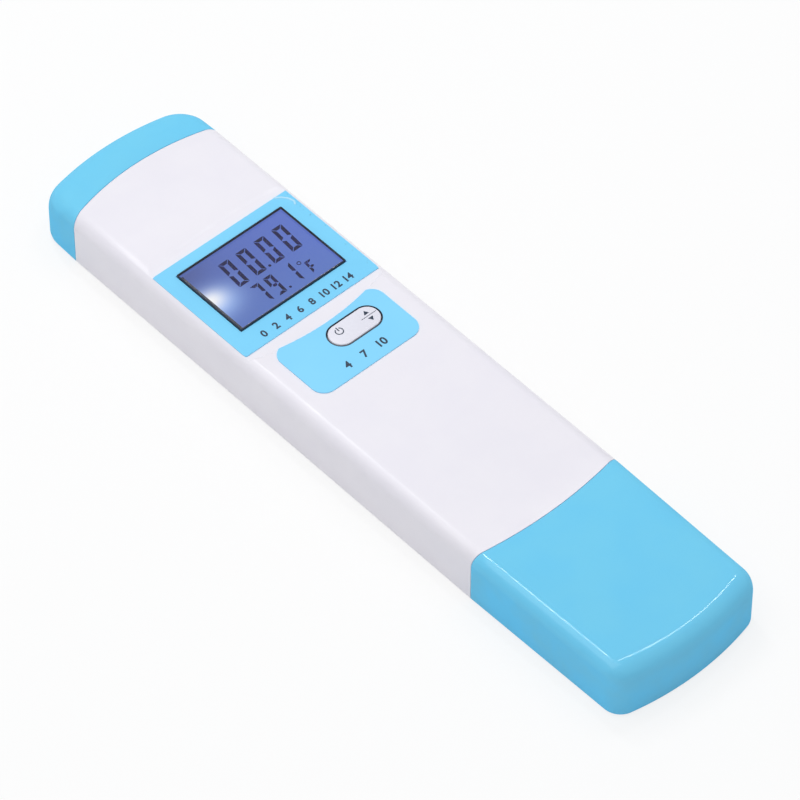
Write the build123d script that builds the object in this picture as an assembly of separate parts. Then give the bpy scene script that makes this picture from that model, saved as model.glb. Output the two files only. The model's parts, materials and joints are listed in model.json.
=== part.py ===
"""Flat pH meter pen lying on its back: white sleeve, blue battery cap and blue protective cap.

Frame: millimetres, +Z out of the display, +Y along the pen towards the battery cap,
+X to the right of the reader. The origin is on the resting face, below the middle of the pen.
"""
from build123d import *
from math import cos, radians, sin, sqrt, tan
import os

# Outside of the pen; its thickness and the sleeve's length follow from what is inside
WIDTH = 40.0
TIP_CAP_LENGTH = 44.2        # from the seam, measured at the side
BATTERY_CAP_LENGTH = 14.7
LOW_SEAM_BOW = 1.9           # how far the seam bulges towards the tip
TOP_SEAM_BOW = 3.4           # how far the seam bulges towards the battery end
TIP_BOW = 2.7
TOP_BOW = 3.1
TIP_TAPER = 0.97             # degrees each side
TOP_TAPER = 1.9
TIP_CORNER = 4.4
TOP_CORNER = 7.1
SIDE_ROUND = 3.0             # front edge along the sides
TIP_ROUND = 4.3              # front edge across the tip
TOP_ROUND = 6.6              # front edge across the battery end
BACK_ROUND = 1.0             # all round the back
MIN_ROUND = 0.4
WALL = 1.5
SEAM_GAP = 0.12

# Label recess, labels and window
RECESS_DEPTH = 0.3
RECESS_ABOVE = 2.15          # recess rim above the display label, at the middle
RECESS_TOP_BOW = 1.4
RECESS_LOW_BOW = 2.9
LABEL_THICK = 0.2
DISPLAY_FROM_TOP = 36.53     # centre of the window below the top seam
DISPLAY_LABEL_HEIGHT = 29.2
DISPLAY_LABEL_SHIFT = -1.42  # the label reaches further below the window than above it
DISPLAY_LABEL_CORNER = 0.4
LENS_HEIGHT = 20.4
LENS_MARGIN = 0.8            # the glass behind reaches this far beyond the lens
LENS_PROUD = 0.5
LENS_CORNER = 0.3
LENS_CHAMFER = 0.12
LENS_GAP = 0.1
LEDGE_DEPTH = 0.6
LEDGE_WIDTH = 0.4

# Rocker key and its label
LABELS_APART = 2.83          # from the display label to the key label's shoulders
KEY_OFFSET = 3.6             # the key sits right of the middle
KEY_LENGTH = 12.8
KEY_HEIGHT = 5.8
KEY_GAP = 0.3
KEY_PROUD = 0.2              # above its label
KEY_EDGE = 0.25
KEY_LIP = 0.9
KEY_LIP_THICK = 0.7
KEY_LIP_DROP = 0.65          # free height under the wall for tilting
KEY_FOOT_INSET = 2.8
KEY_FOOT_RADIUS = 1.3
PIVOT_RADIUS = 0.5
PIVOT_LENGTH = 4.4
PIVOT_DROP = 0.1             # ridge centre below the lip
KEY_LABEL_MARGIN = 5.9       # from the side of the pen to the label
KEY_LABEL_HEIGHT = 16.05
KEY_LABEL_BELOW = 10.1       # from the key's centre to the label's lower edge
KEY_LABEL_CORNER = 3.2
KEY_RIM_DROP = 1.1           # recess rim below the key label's shoulders, at the middle
KEY_RIM_GAP = 0.25           # from the recess rim to the label
MAT_BASE = 0.6
MAT_MARGIN = 1.6
MAT_CORNER = 1.0
DOME_RADIUS = 2.9
DOME_NECK = 1.7
DOME_WALL = 0.45
DOME_SLOPE = 0.9
PILL_RADIUS = 1.0
PILL_THICK = 0.3

# Main board
BOARD_THICK = 1.0
BOARD_CORNER = 1.0
BOARD_SIDE_ROOM = 1.3
BOARD_FROM_LAP = 5.5         # free length between the collar's laps and the board
BAY_LENGTH = 41.47           # from the board's low end to the middle of the key
FILM = 0.05                  # solder, glue and sliding films

# Chips on the board: across, up from the board's low end, length, width, height
AMPLIFIER = (-6.0, 11.6, 4.9, 3.9, 1.5)
AMPLIFIER_PINS = 4
CRYSTAL = (-6.0, 16.8, 5.0, 2.2, 1.3)
CONTROLLER = (-6.0, 23.6, 7.0, 7.0, 1.4)
CONTROLLER_PINS = 6
RADIO = (5.5, 20.0, 10.0, 15.0, 0.8)
RADIO_SHIELD = (8.4, 9.0, 1.6)
CAPACITORS = ((-10.6, 14.4), (-1.4, 13.0), (-1.4, 17.4))
CAPACITOR_SIZE = (1.6, 3.2, 1.6)
PIN_WIDTH = 0.35
PIN_REACH = 0.9
PIN_THICK = 0.2

# Display stack
LCD_SIDE_ROOM = 2.0          # from the board's edge to the glass
LCD_REAR_HEIGHT = 24.4
LCD_LEDGE = 2.0              # contact ledge below the front sheet
LCD_SHEET = 0.95
LCD_TO_WALL = 0.1
FRAME_WALL = 0.9
FRAME_GAP = 0.15
GUIDE_THICK = 2.2
GUIDE_GAP = 0.3
GUIDE_SIDE_GAP = 0.55
LED_SIZE = (0.45, 3.8, 1.2)
ZEBRA_WIDTH = 1.2
ZEBRA_SHORTER = 2.2          # at each end, than the glass

# Carrier under the board
RAIL_WIDTH = 2.9
RAIL_SIDE_GAP = 0.6
RAIL_LIP = 0.5
CARRIER_ROOM = 1.5           # between the carrier and the battery cap's tongue
CROSS_BAR = 3.0
CROSS_BAR_THICK = 2.0
END_BAR_THICK = 0.8
LAP_LENGTH = 7.0
LAP_HEIGHT = 4.0
HOLD_RIB_HEIGHT = 0.8
HOLD_RIB_GAP = 0.1
HOLD_RIB_INSET = 2.2         # ribs start this far past the board's end bar
SCREW_RADIUS = 0.9
SCREW_HEAD_RADIUS = 1.7
SCREW_HEAD_HEIGHT = 1.1
SCREW_SLOT_DEPTH = 0.5
SCREW_SLOT_WIDTH = 0.5
SCREW_FREE = 0.15

# Coin cell and its holder
CELL_RADIUS = 10.0
CELL_THICK = 3.2
CELL_RIM = 1.4               # the negative face is this much smaller
CELL_CAP_STEP = 0.35
CELL_EDGE = 0.4
CELL_PLAY = 0.25
HOLDER_WALL = 1.2
HOLDER_BACK_WALL = 1.75
HOLDER_FLOOR = 0.6
HOLDER_ROOF = 0.7
HOLDER_ROOM = 0.2            # under the holder
HOLDER_INSET = 0.6           # from the board's end
CELL_SHOWS = 1.4             # the cell stands out of the holder
FINGER_RADIUS = 5.0
CONTACT_THICK = 0.2
CONTACT_WIDTH = 4.0
CONTACT_OFFSET = 4.0
CONTACT_REACH = 2.0

# Spigot and tongue under the two caps, with their seals
FIT_CLEAR = 0.3
SPIGOT_REACH = 9.6
SPIGOT_WALL = 1.5
SPIGOT_WEB = 3.0
SPIGOT_INSIDE = 6.8
SEAL_WIDTH = 1.6
SEAL_DEPTH = 0.5
SEAL_PROUD = 0.1
SEAL_FROM_END = 2.6
SEAL_PLAY = 0.02
TONGUE_REACH = 5.3
TONGUE_WALL = 1.2
TONGUE_CLEAR = 0.2
TONGUE_ROOT = 3.2

# Sensor
SPONGE_DEPTH = 5.0
SPONGE_SIDE_ROOM = 6.5
SPONGE_CORNER = 0.8
SPONGE_CLEAR = 1.2           # from the guard to the sponge
GUARD_WALL = 0.7
GUARD_RING = 4.0
GUARD_END_RING = 0.9
GUARD_SLOT = 5.4
TUBE_SEAT = 0.4              # left between the tube's bore and the seal's groove
TUBE_WALL = 0.8
TUBE_TAIL = 3.2              # behind the collar
TUBE_PLUG = 2.4
REAR_PLUG = 3.0
BULB_RADIUS = 3.1
BULB_WALL = 0.35
BULB_INSET = 1.2             # bulb tip behind the guard's end
STEM_RADIUS = 1.9
STEM_WALL = 0.5
WIRE_RADIUS = 0.35
SENSING_GAP = 1.0
JUNCTION_RADIUS = 0.45
REFERENCE_SHORT = 3.6        # the reference wire stops this far behind the front plug
PROBE_RADIUS = 1.5
PROBE_OFFSET = 10.4
PROBE_SHORTER = 7.0          # the probe ends this far behind the guard's end
PROBE_TAIL = 5.0             # behind the spigot's web
RUN_CLEAR = 0.05

# Leads between the sensor and the board
LEAD_RADIUS = 0.8
LEAD_BEND = 2.2
LEAD_RUN = 0.3               # straight share at each end
PROBE_LEAD_RADIUS = 0.5
PROBE_LEAD_BEND = 6.0
SOCKET_SIZE = (5.0, 4.4, 3.4)
SOCKET_INSET = 0.6
SOCKET_PLACES = (0.0, 8.6)
SOCKET_WALL = 0.7

# Places that follow from the sizes above
LCD_THICK = 2 * LCD_SHEET
STACK_ABOVE = BOARD_THICK + GUIDE_THICK + LCD_THICK + LCD_TO_WALL + WALL
STACK_BELOW = WALL + HOLDER_ROOM + HOLDER_FLOOR + CELL_THICK + 3 * CONTACT_THICK + HOLDER_ROOF
THICK = STACK_BELOW + STACK_ABOVE
BOARD_FROM_LOW = SPIGOT_INSIDE + LAP_LENGTH + BOARD_FROM_LAP
KEY_LABEL_ABOVE = KEY_LABEL_HEIGHT - KEY_LABEL_BELOW
KEY_FROM_DISPLAY = KEY_LABEL_ABOVE + LABELS_APART + DISPLAY_LABEL_HEIGHT / 2 - DISPLAY_LABEL_SHIFT
SLEEVE_LENGTH = BOARD_FROM_LOW + BAY_LENGTH + KEY_FROM_DISPLAY + DISPLAY_FROM_TOP
LENGTH = SLEEVE_LENGTH + TIP_CAP_LENGTH + BATTERY_CAP_LENGTH
Y_TIP = -LENGTH / 2
Y_LOW = Y_TIP + TIP_CAP_LENGTH
Y_TOP = Y_LOW + SLEEVE_LENGTH
Y_END = LENGTH / 2
MID_Z = THICK / 2
FLOOR_Z = THICK - RECESS_DEPTH
INNER_TOP = THICK - WALL
INNER_HALF = WIDTH / 2 - WALL
DISPLAY_Y = Y_TOP - DISPLAY_FROM_TOP
KEY_Y = DISPLAY_Y - KEY_FROM_DISPLAY
KEY_LABEL_LOW = KEY_Y - KEY_LABEL_BELOW
RIM_MID = KEY_LABEL_LOW + KEY_LABEL_HEIGHT - KEY_RIM_DROP
LABEL_HALF = WIDTH / 2 - SIDE_ROUND + sqrt(SIDE_ROUND ** 2 - (SIDE_ROUND - RECESS_DEPTH) ** 2)
KEY_LABEL_WIDTH = WIDTH - 2 * KEY_LABEL_MARGIN
LCD_TOP = INNER_TOP - LCD_TO_WALL
LCD_BOTTOM = LCD_TOP - LCD_THICK
BOARD_TOP = LCD_BOTTOM - GUIDE_THICK
BOARD_BOTTOM = BOARD_TOP - BOARD_THICK
BOARD_HALF = INNER_HALF - BOARD_SIDE_ROOM
BOARD_LOW = Y_LOW + BOARD_FROM_LOW
CARRIER_END = Y_TOP - TONGUE_REACH - CARRIER_ROOM
BOARD_END = CARRIER_END - CROSS_BAR
LCD_WIDTH = 2 * (BOARD_HALF - LCD_SIDE_ROOM)
LENS_WIDTH = LCD_WIDTH - 2 * LENS_MARGIN
FRAME_HALF_X = LCD_WIDTH / 2 + FRAME_GAP
FRAME_HALF_Y = LCD_REAR_HEIGHT / 2 + FRAME_GAP
ZEBRA_Y = DISPLAY_Y - LCD_REAR_HEIGHT / 2 + FILM
KEY_LIP_TOP = INNER_TOP - KEY_LIP_DROP
KEY_LIP_LOW = KEY_LIP_TOP - KEY_LIP_THICK
KEY_FOOT_REACH = KEY_LENGTH / 2 - KEY_FOOT_INSET
PIVOT_Z = KEY_LIP_LOW - PIVOT_DROP
MAT_TOP = PIVOT_Z - PIVOT_RADIUS - FILM
RAIL_OUT = INNER_HALF - RAIL_SIDE_GAP
RAIL_IN = RAIL_OUT - RAIL_WIDTH
HOLDER_BACK = CELL_RADIUS + CELL_PLAY + HOLDER_BACK_WALL
HOLDER_FRONT = CELL_RADIUS - CELL_SHOWS
CELL_Y = BOARD_END - HOLDER_INSET - HOLDER_FRONT
POCKET_TOP = BOARD_BOTTOM - HOLDER_ROOF
CELL_Z = POCKET_TOP - 2 * CONTACT_THICK - CELL_THICK
HOLDER_LOW = CELL_Z - CONTACT_THICK - HOLDER_FLOOR
SPIGOT_END = Y_LOW - SPIGOT_REACH
WEB_BACK = SPIGOT_END + SPIGOT_WEB
COLLAR_END = Y_LOW + SPIGOT_INSIDE
SPIGOT_SEAL_Y = SPIGOT_END + SEAL_FROM_END
TONGUE_END = Y_TOP - TONGUE_REACH
TONGUE_SEAL_Y = TONGUE_END + SEAL_FROM_END
SPONGE_Y = Y_TIP + WALL + SPONGE_DEPTH
SPONGE_HALF = INNER_HALF - SPONGE_SIDE_ROOM
GUARD_END = SPONGE_Y + SPONGE_CLEAR
TUBE_RADIUS = MID_Z - WALL - FIT_CLEAR - SEAL_DEPTH - TUBE_SEAT - RUN_CLEAR
GUARD_RADIUS = TUBE_RADIUS + GUARD_WALL
BULB_Y = GUARD_END + BULB_INSET + BULB_RADIUS
TUBE_FRONT = BULB_Y + sqrt(BULB_RADIUS ** 2 - STEM_RADIUS ** 2)
TUBE_BACK = COLLAR_END + TUBE_TAIL
ANNULUS_RADIUS = (STEM_RADIUS + TUBE_RADIUS - TUBE_WALL) / 2
PROBE_END = WEB_BACK + PROBE_TAIL
UPRIGHT = (Align.CENTER, Align.CENTER, Align.MIN)


def block(x0, x1, y0, y1, z0, z1):
    """Box between two corners."""
    return Pos((x0 + x1) / 2, (y0 + y1) / 2, (z0 + z1) / 2) * Box(x1 - x0, y1 - y0, z1 - z0)


def both_sides(x0, x1, y0, y1, z0, z1):
    """Box on the right and its mirror image on the left."""
    return block(x0, x1, y0, y1, z0, z1) + block(-x1, -x0, y0, y1, z0, z1)


def prism(face, z0, z1):
    """Face in the XY plane made solid from height z0 to height z1."""
    return Pos(0, 0, z0) * extrude(face, amount=z1 - z0)


def rod(radius, y0, y1, x=0.0, z=MID_Z):
    """Round bar along the pen."""
    return Pos(x, y0, z) * Rot(-90, 0, 0) * Cylinder(radius, y1 - y0, align=UPRIGHT)


def disc(radius, z0, z1, x=0.0, y=0.0):
    """Round disc standing on height z0."""
    return Pos(x, y, z0) * Cylinder(radius, z1 - z0, align=UPRIGHT)


def arc_height(x, y_side, bow, half):
    """Height at x of the circle through (-half, y_side), (0, y_side + bow) and (half, y_side)."""
    radius = (half ** 2 + bow ** 2) / (2 * abs(bow))
    drop = radius - sqrt(radius ** 2 - x ** 2)
    return y_side + bow - drop if bow > 0 else y_side + bow + drop


def beyond_arc(y_side, bow, upward, half=WIDTH / 2):
    """Plan area on one side of a bowed line; upward takes the side towards the battery cap."""
    reach = half * 1.15
    y_reach = arc_height(reach, y_side, bow, half)
    far = LENGTH if upward else -LENGTH
    arc = ThreePointArc((-reach, y_reach), (0, y_side + bow), (reach, y_reach))
    rest = Polyline((reach, y_reach), (WIDTH, y_reach), (WIDTH, far), (-WIDTH, far), (-WIDTH, y_reach),
                    (-reach, y_reach))
    return Sketch() + make_face([arc, rest])


def drawn_in(rise, radius):
    """How far a quarter-round edge has drawn the outline in, this high above where it starts."""
    if rise <= 0:
        return 0.0
    return radius - sqrt(max(radius ** 2 - rise ** 2, 0.0))


def outline(z, inset=0.0):
    """Plan outline of the pen at height z, drawn in evenly by inset."""
    back = 0.0 if inset else drawn_in(BACK_ROUND - z, BACK_ROUND)
    side = inset + back + drawn_in(z - THICK + SIDE_ROUND, SIDE_ROUND - inset)
    tip = inset + back + drawn_in(z - THICK + TIP_ROUND, TIP_ROUND - inset)
    top = inset + back + drawn_in(z - THICK + TOP_ROUND, TOP_ROUND - inset)
    half = WIDTH / 2 - side
    tip_y = Y_TIP + tip + TIP_BOW
    top_y = Y_END - top - TOP_BOW
    tip_half = half - (Y_LOW - tip_y) * tan(radians(TIP_TAPER))
    top_half = half - (top_y - Y_TOP) * tan(radians(TOP_TAPER))
    right = Polyline((tip_half, tip_y), (half, Y_LOW), (half, Y_TOP), (top_half, top_y))
    top_arc = ThreePointArc((top_half, top_y), (0, top_y + TOP_BOW), (-top_half, top_y))
    left = Polyline((-top_half, top_y), (-half, Y_TOP), (-half, Y_LOW), (-tip_half, tip_y))
    tip_arc = ThreePointArc((-tip_half, tip_y), (0, tip_y - TIP_BOW), (tip_half, tip_y))
    face = Sketch() + make_face([right, top_arc, left, tip_arc])
    face = fillet(face.vertices().sort_by(Axis.Y)[:2], max(TIP_CORNER - side, MIN_ROUND))
    return fillet(face.vertices().sort_by(Axis.Y)[-2:], max(TOP_CORNER - side, MIN_ROUND))


def band(levels, inset, ruled):
    """Skin over the outlines at these heights."""
    return loft([Pos(0, 0, z) * outline(z, inset) for z in levels], ruled=ruled)


def envelope(inset=0.0):
    """Outer form of the pen, or the same form a wall thickness further in.

    The three front roundings start at different heights, so the crown is lofted band by band.
    The inside needs no fine skin: it has straight bands and a square back edge.
    """
    inside = inset > 0
    starts = sorted({THICK - SIDE_ROUND, THICK - TIP_ROUND, THICK - TOP_ROUND})
    if inside:
        form = prism(outline(starts[0], inset), inset, starts[0])
    else:
        form = prism(outline(starts[0]), BACK_ROUND, starts[0])
        back = [BACK_ROUND * (1 - sin(radians(angle))) for angle in (90, 50, 20, 0)]
        form += band(back, inset, True)
    for low, high in zip(starts, starts[1:]):
        form += band((low, (low + high) / 2, high), inset, inside)
    rise = THICK - inset - starts[-1]
    angles = (0, 30, 60, 90) if inside else (0, 22, 42, 58, 71, 82, 90)
    return form + band([starts[-1] + rise * sin(radians(angle)) for angle in angles], inset, inside)


def rounded_bar(inset, y0, y1):
    """Straight piece of the pen's cross-section, drawn in by inset, from y0 to y1."""
    half = WIDTH / 2 - inset
    section = Pos(0, THICK / 2) * Rectangle(2 * half, THICK - 2 * inset)
    section = fillet(section.vertices().group_by(Axis.Y)[-1], max(SIDE_ROUND - inset, MIN_ROUND))
    section = fillet(section.vertices().group_by(Axis.Y)[0], max(BACK_ROUND - inset, MIN_ROUND))
    return Pos(0, y1, 0) * Rot(90, 0, 0) * extrude(section, amount=y1 - y0)


def ring_bar(outer_inset, inner_inset, y0, y1):
    """Hollow piece of the cross-section between two insets."""
    return rounded_bar(outer_inset, y0, y1) - rounded_bar(inner_inset, y0 - 1, y1 + 1)


OUTER = envelope()
INNER = envelope(WALL)
SHELL = OUTER - INNER


def recess_area():
    """Plan of the shallow label recess, between its upper and lower rims."""
    top_mid = DISPLAY_Y + DISPLAY_LABEL_SHIFT + DISPLAY_LABEL_HEIGHT / 2 + RECESS_ABOVE
    above = beyond_arc(top_mid - RECESS_TOP_BOW, RECESS_TOP_BOW, False, LABEL_HALF)
    below = beyond_arc(RIM_MID + RECESS_LOW_BOW, -RECESS_LOW_BOW, True, LABEL_HALF)
    return above & below


def lens_opening():
    """Plan of the cut-out that the lens sits in."""
    size = (LENS_WIDTH + 2 * LENS_GAP, LENS_HEIGHT + 2 * LENS_GAP)
    return Pos(0, DISPLAY_Y) * RectangleRounded(*size, LENS_CORNER + LENS_GAP)


def key_plan(grow=0.0):
    """Plan of the key, a bar with round ends, made larger all round by grow."""
    return Pos(KEY_OFFSET, KEY_Y) * SlotOverall(KEY_LENGTH + 2 * grow, KEY_HEIGHT + 2 * grow)


def body_sleeve():
    """One-piece white sleeve with the label recess, window and key openings."""
    between = beyond_arc(Y_LOW, -LOW_SEAM_BOW, True) & beyond_arc(Y_TOP, TOP_SEAM_BOW, False)
    low = Y_LOW - 2 * LOW_SEAM_BOW
    high = Y_TOP + 2 * TOP_SEAM_BOW
    sleeve = ring_bar(0, WALL, low, high) & prism(between, -1, THICK + 1)
    sleeve -= prism(recess_area(), FLOOR_Z, THICK + 1)
    sleeve -= prism(lens_opening(), FLOOR_Z - LEDGE_DEPTH, THICK)
    opening = Rectangle(LENS_WIDTH - 2 * LEDGE_WIDTH, LENS_HEIGHT - 2 * LEDGE_WIDTH)
    sleeve -= prism(Pos(0, DISPLAY_Y) * opening, INNER_TOP - 1, THICK)
    sleeve -= prism(key_plan(KEY_GAP), INNER_TOP - 1, THICK + 1)
    rib_z = BOARD_TOP + HOLD_RIB_GAP
    ribs = both_sides(RAIL_OUT - RAIL_LIP, INNER_HALF + WALL / 4, BOARD_LOW + HOLD_RIB_INSET,
                      BOARD_END - HOLD_RIB_INSET, rib_z, rib_z + HOLD_RIB_HEIGHT)
    return sleeve + ribs


def protective_cap():
    """Blue cap over the sensor, with a bowed mouth."""
    mouth = beyond_arc(Y_LOW - SEAM_GAP, -LOW_SEAM_BOW, False)
    return SHELL & prism(mouth, -1, THICK + 1)


def cap_sponge():
    """Soaking sponge in the protective cap's tip."""
    back = Y_TIP + WALL + TIP_BOW * (SPONGE_HALF / INNER_HALF) ** 2 + MIN_ROUND
    sponge = block(-SPONGE_HALF, SPONGE_HALF, back, SPONGE_Y, WALL, INNER_TOP - TIP_ROUND + WALL + FIT_CLEAR)
    return fillet(sponge.edges().filter_by(Axis.Z), SPONGE_CORNER)


def battery_cap():
    """Blue end cap whose tongue slides into the sleeve."""
    cover = prism(beyond_arc(Y_TOP + SEAM_GAP, TOP_SEAM_BOW, True), -1, THICK + 1)
    root_end = Y_TOP + TOP_SEAM_BOW + TONGUE_ROOT
    inside = WALL + TONGUE_CLEAR + TONGUE_WALL
    tongue = ring_bar(WALL + TONGUE_CLEAR, inside, TONGUE_END, root_end)
    root = ring_bar(WALL - TONGUE_CLEAR, inside, Y_TOP, root_end) & cover
    cap = (SHELL & cover) + (tongue & OUTER) + (root & OUTER)
    return cap - seal_groove(TONGUE_SEAL_Y, WALL + TONGUE_CLEAR)


def seal_groove(y, inset):
    """Groove for a sealing ring round a spigot or tongue."""
    half = SEAL_WIDTH / 2
    return ring_bar(inset - FILM, inset + SEAL_DEPTH, y - half, y + half)


def seal_ring(y, inset):
    """Rubber ring that fills such a groove and stands a little proud."""
    half = SEAL_WIDTH / 2 - SEAL_PLAY
    return ring_bar(inset - SEAL_PROUD, inset + SEAL_DEPTH, y - half, y + half)


def display_overlay():
    """Printed film in the recess, with a cut-out for the window."""
    size = (2 * LABEL_HALF, DISPLAY_LABEL_HEIGHT)
    film = Pos(0, DISPLAY_Y + DISPLAY_LABEL_SHIFT) * RectangleRounded(*size, DISPLAY_LABEL_CORNER)
    return prism(film - lens_opening(), FLOOR_Z, FLOOR_Z + LABEL_THICK)


def key_overlay():
    """Printed film round the key; its upper edge follows the recess rim."""
    film = RectangleRounded(KEY_LABEL_WIDTH, KEY_LABEL_HEIGHT, KEY_LABEL_CORNER)
    film = Pos(0, KEY_LABEL_LOW + KEY_LABEL_HEIGHT / 2) * film
    keep = beyond_arc(RIM_MID - KEY_RIM_GAP + RECESS_LOW_BOW, -RECESS_LOW_BOW, False, LABEL_HALF)
    return prism((film & keep) - key_plan(KEY_GAP), THICK, THICK + LABEL_THICK)


def window_lens():
    """Clear plate on the ledge of the window opening."""
    plate = Pos(0, DISPLAY_Y) * RectangleRounded(LENS_WIDTH, LENS_HEIGHT, LENS_CORNER)
    lens = prism(plate, FLOOR_Z - LEDGE_DEPTH, FLOOR_Z + LABEL_THICK + LENS_PROUD)
    return chamfer(lens.faces().sort_by(Axis.Z)[-1].edges(), LENS_CHAMFER)


def lcd_glass():
    """Two bonded glass sheets; the rear one is longer and carries the contacts."""
    half = LCD_WIDTH / 2
    high = DISPLAY_Y + LCD_REAR_HEIGHT / 2
    front = block(-half, half, high - LCD_REAR_HEIGHT + LCD_LEDGE, high, LCD_TOP - LCD_SHEET, LCD_TOP)
    rear = block(-half, half, high - LCD_REAR_HEIGHT, high, LCD_BOTTOM, LCD_TOP - LCD_SHEET)
    return front + rear


def lcd_frame():
    """Plastic frame that holds the display stack on the board."""
    outer = RectangleRounded(2 * (FRAME_HALF_X + FRAME_WALL), 2 * (FRAME_HALF_Y + FRAME_WALL), FRAME_WALL)
    inner = Rectangle(2 * FRAME_HALF_X, 2 * FRAME_HALF_Y)
    return prism(Pos(0, DISPLAY_Y) * (outer - inner), BOARD_TOP, LCD_TOP)


def backlight_guide():
    """Clear plate that spreads the light of the side lamp."""
    half = FRAME_HALF_X - GUIDE_SIDE_GAP
    low = ZEBRA_Y + ZEBRA_WIDTH + GUIDE_GAP
    return block(-half, half, low, DISPLAY_Y + FRAME_HALF_Y - GUIDE_GAP, BOARD_TOP, LCD_BOTTOM)


def backlight_led():
    """Side lamp between the guide's left edge and the frame."""
    x = LED_SIZE[0] / 2 - FRAME_HALF_X
    return Pos(x, DISPLAY_Y, BOARD_TOP + LED_SIZE[2] / 2) * Box(*LED_SIZE)


def zebra_strip():
    """Conductive rubber strip from the board to the rear glass's contacts."""
    half = LCD_WIDTH / 2 - ZEBRA_SHORTER
    return block(-half, half, ZEBRA_Y, ZEBRA_Y + ZEBRA_WIDTH, BOARD_TOP, LCD_BOTTOM)


def rocker_key():
    """Key cap with its retaining lip, two feet and the round ridge it rocks on."""
    cap = prism(key_plan(), KEY_LIP_LOW, THICK + LABEL_THICK + KEY_PROUD)
    cap = chamfer(cap.faces().sort_by(Axis.Z)[-1].edges(), KEY_EDGE)
    key = cap + prism(key_plan(KEY_LIP), KEY_LIP_LOW, KEY_LIP_TOP)
    for x, y in foot_places():
        key += disc(KEY_FOOT_RADIUS, MAT_TOP + FILM, KEY_LIP_LOW + FILM, x, y)
    half = PIVOT_LENGTH / 2
    ridge = rod(PIVOT_RADIUS, KEY_Y - half, KEY_Y + half, KEY_OFFSET, PIVOT_Z)
    neck = block(KEY_OFFSET - PIVOT_RADIUS, KEY_OFFSET + PIVOT_RADIUS, KEY_Y - half, KEY_Y + half,
                 PIVOT_Z, KEY_LIP_LOW + FILM)
    return key + ridge + neck


def foot_places():
    """Plan places of the key's two feet."""
    return [(KEY_OFFSET + side * KEY_FOOT_REACH, KEY_Y) for side in (-1, 1)]


def key_mat():
    """Silicone mat: base plate, seat of the ridge and a hollow dome under each foot."""
    size = (KEY_LENGTH + 2 * MAT_MARGIN, KEY_HEIGHT + 2 * MAT_MARGIN)
    plan = Pos(KEY_OFFSET, KEY_Y) * RectangleRounded(*size, MAT_CORNER)
    base_top = BOARD_TOP + MAT_BASE
    mat = prism(plan, BOARD_TOP, base_top)
    half = PIVOT_LENGTH / 2
    mat += block(KEY_OFFSET - PIVOT_RADIUS, KEY_OFFSET + PIVOT_RADIUS, KEY_Y - half, KEY_Y + half,
                 base_top, MAT_TOP)
    for x, y in foot_places():
        slope = Cone(DOME_RADIUS, DOME_NECK, DOME_SLOPE, align=UPRIGHT)
        mat += Pos(x, y, base_top) * slope + disc(DOME_NECK, base_top + DOME_SLOPE, MAT_TOP, x, y)
    for x, y in foot_places():
        hollow = Cone(DOME_RADIUS - DOME_WALL, DOME_NECK - DOME_WALL, DOME_SLOPE, align=UPRIGHT)
        mat -= disc(DOME_RADIUS - DOME_WALL, BOARD_TOP - 1, base_top, x, y) + Pos(x, y, base_top) * hollow
    return mat


def contact_pills():
    """Conductive pills inside the two domes."""
    top = BOARD_TOP + MAT_BASE + DOME_SLOPE
    return [disc(PILL_RADIUS, top - PILL_THICK, top, x, y) for x, y in foot_places()]


def board_screw_places():
    """Where the board is screwed to the carrier's cross bars."""
    x = RAIL_IN - SCREW_HEAD_RADIUS
    low = BOARD_LOW + SOCKET_INSET + SOCKET_SIZE[1] + SCREW_HEAD_RADIUS + SCREW_FREE
    high = DISPLAY_Y - FRAME_HALF_Y - FRAME_WALL - SCREW_HEAD_RADIUS - FILM
    return [(side * x, y) for side in (-1, 1) for y in (low, high)]


def carrier_screw_places():
    """Where the carrier's rails are screwed to the collar's laps."""
    x = (RAIL_IN + RAIL_OUT) / 2
    return [(side * x, COLLAR_END + LAP_LENGTH / 2) for side in (-1, 1)]


def screw(x, y, z, length):
    """Slotted pan-head screw with its head standing on height z."""
    head = disc(SCREW_HEAD_RADIUS, z, z + SCREW_HEAD_HEIGHT, x, y)
    slot = Box(2 * SCREW_HEAD_RADIUS, SCREW_SLOT_WIDTH, 2 * SCREW_SLOT_DEPTH)
    slot = Pos(x, y, z + SCREW_HEAD_HEIGHT) * slot
    return head - slot + disc(SCREW_RADIUS, z - length, z, x, y)


def board_screws():
    """Screws through the board into the cross bars."""
    return [screw(x, y, BOARD_TOP, BOARD_THICK + CROSS_BAR_THICK) for x, y in board_screw_places()]


def carrier_screws():
    """Screws through the rails into the collar's laps."""
    return [screw(x, y, BOARD_BOTTOM, BOARD_BOTTOM - WALL - FILM) for x, y in carrier_screw_places()]


def main_board():
    """Printed circuit board with its screw holes."""
    plan = RectangleRounded(2 * BOARD_HALF, BOARD_END - BOARD_LOW, BOARD_CORNER)
    board = prism(Pos(0, (BOARD_LOW + BOARD_END) / 2) * plan, BOARD_BOTTOM, BOARD_TOP)
    for x, y in board_screw_places():
        board -= disc(SCREW_RADIUS + SCREW_FREE, BOARD_BOTTOM - 1, BOARD_TOP + 1, x, y)
    return board


def chip(place, pins, four_sided):
    """Moulded chip with bent pins along two or four of its sides."""
    x, rise, length, width, height = place
    y = BOARD_LOW + rise
    body = Pos(x, y, BOARD_TOP + PIN_THICK + height / 2) * Box(length, width, height - PIN_THICK)
    pitch_x = length / (pins + 1)
    pitch_y = width / (pins + 1)
    for side in (-1, 1):
        for i in range(pins):
            along = (i + 1) * pitch_y - width / 2
            pin = Pos(x + side * length / 2, y + along, BOARD_TOP + height / 4)
            body += pin * Box(2 * PIN_REACH, PIN_WIDTH, height / 2)
            if four_sided:
                along = (i + 1) * pitch_x - length / 2
                pin = Pos(x + along, y + side * width / 2, BOARD_TOP + height / 4)
                body += pin * Box(PIN_WIDTH, 2 * PIN_REACH, height / 2)
    return body


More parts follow.
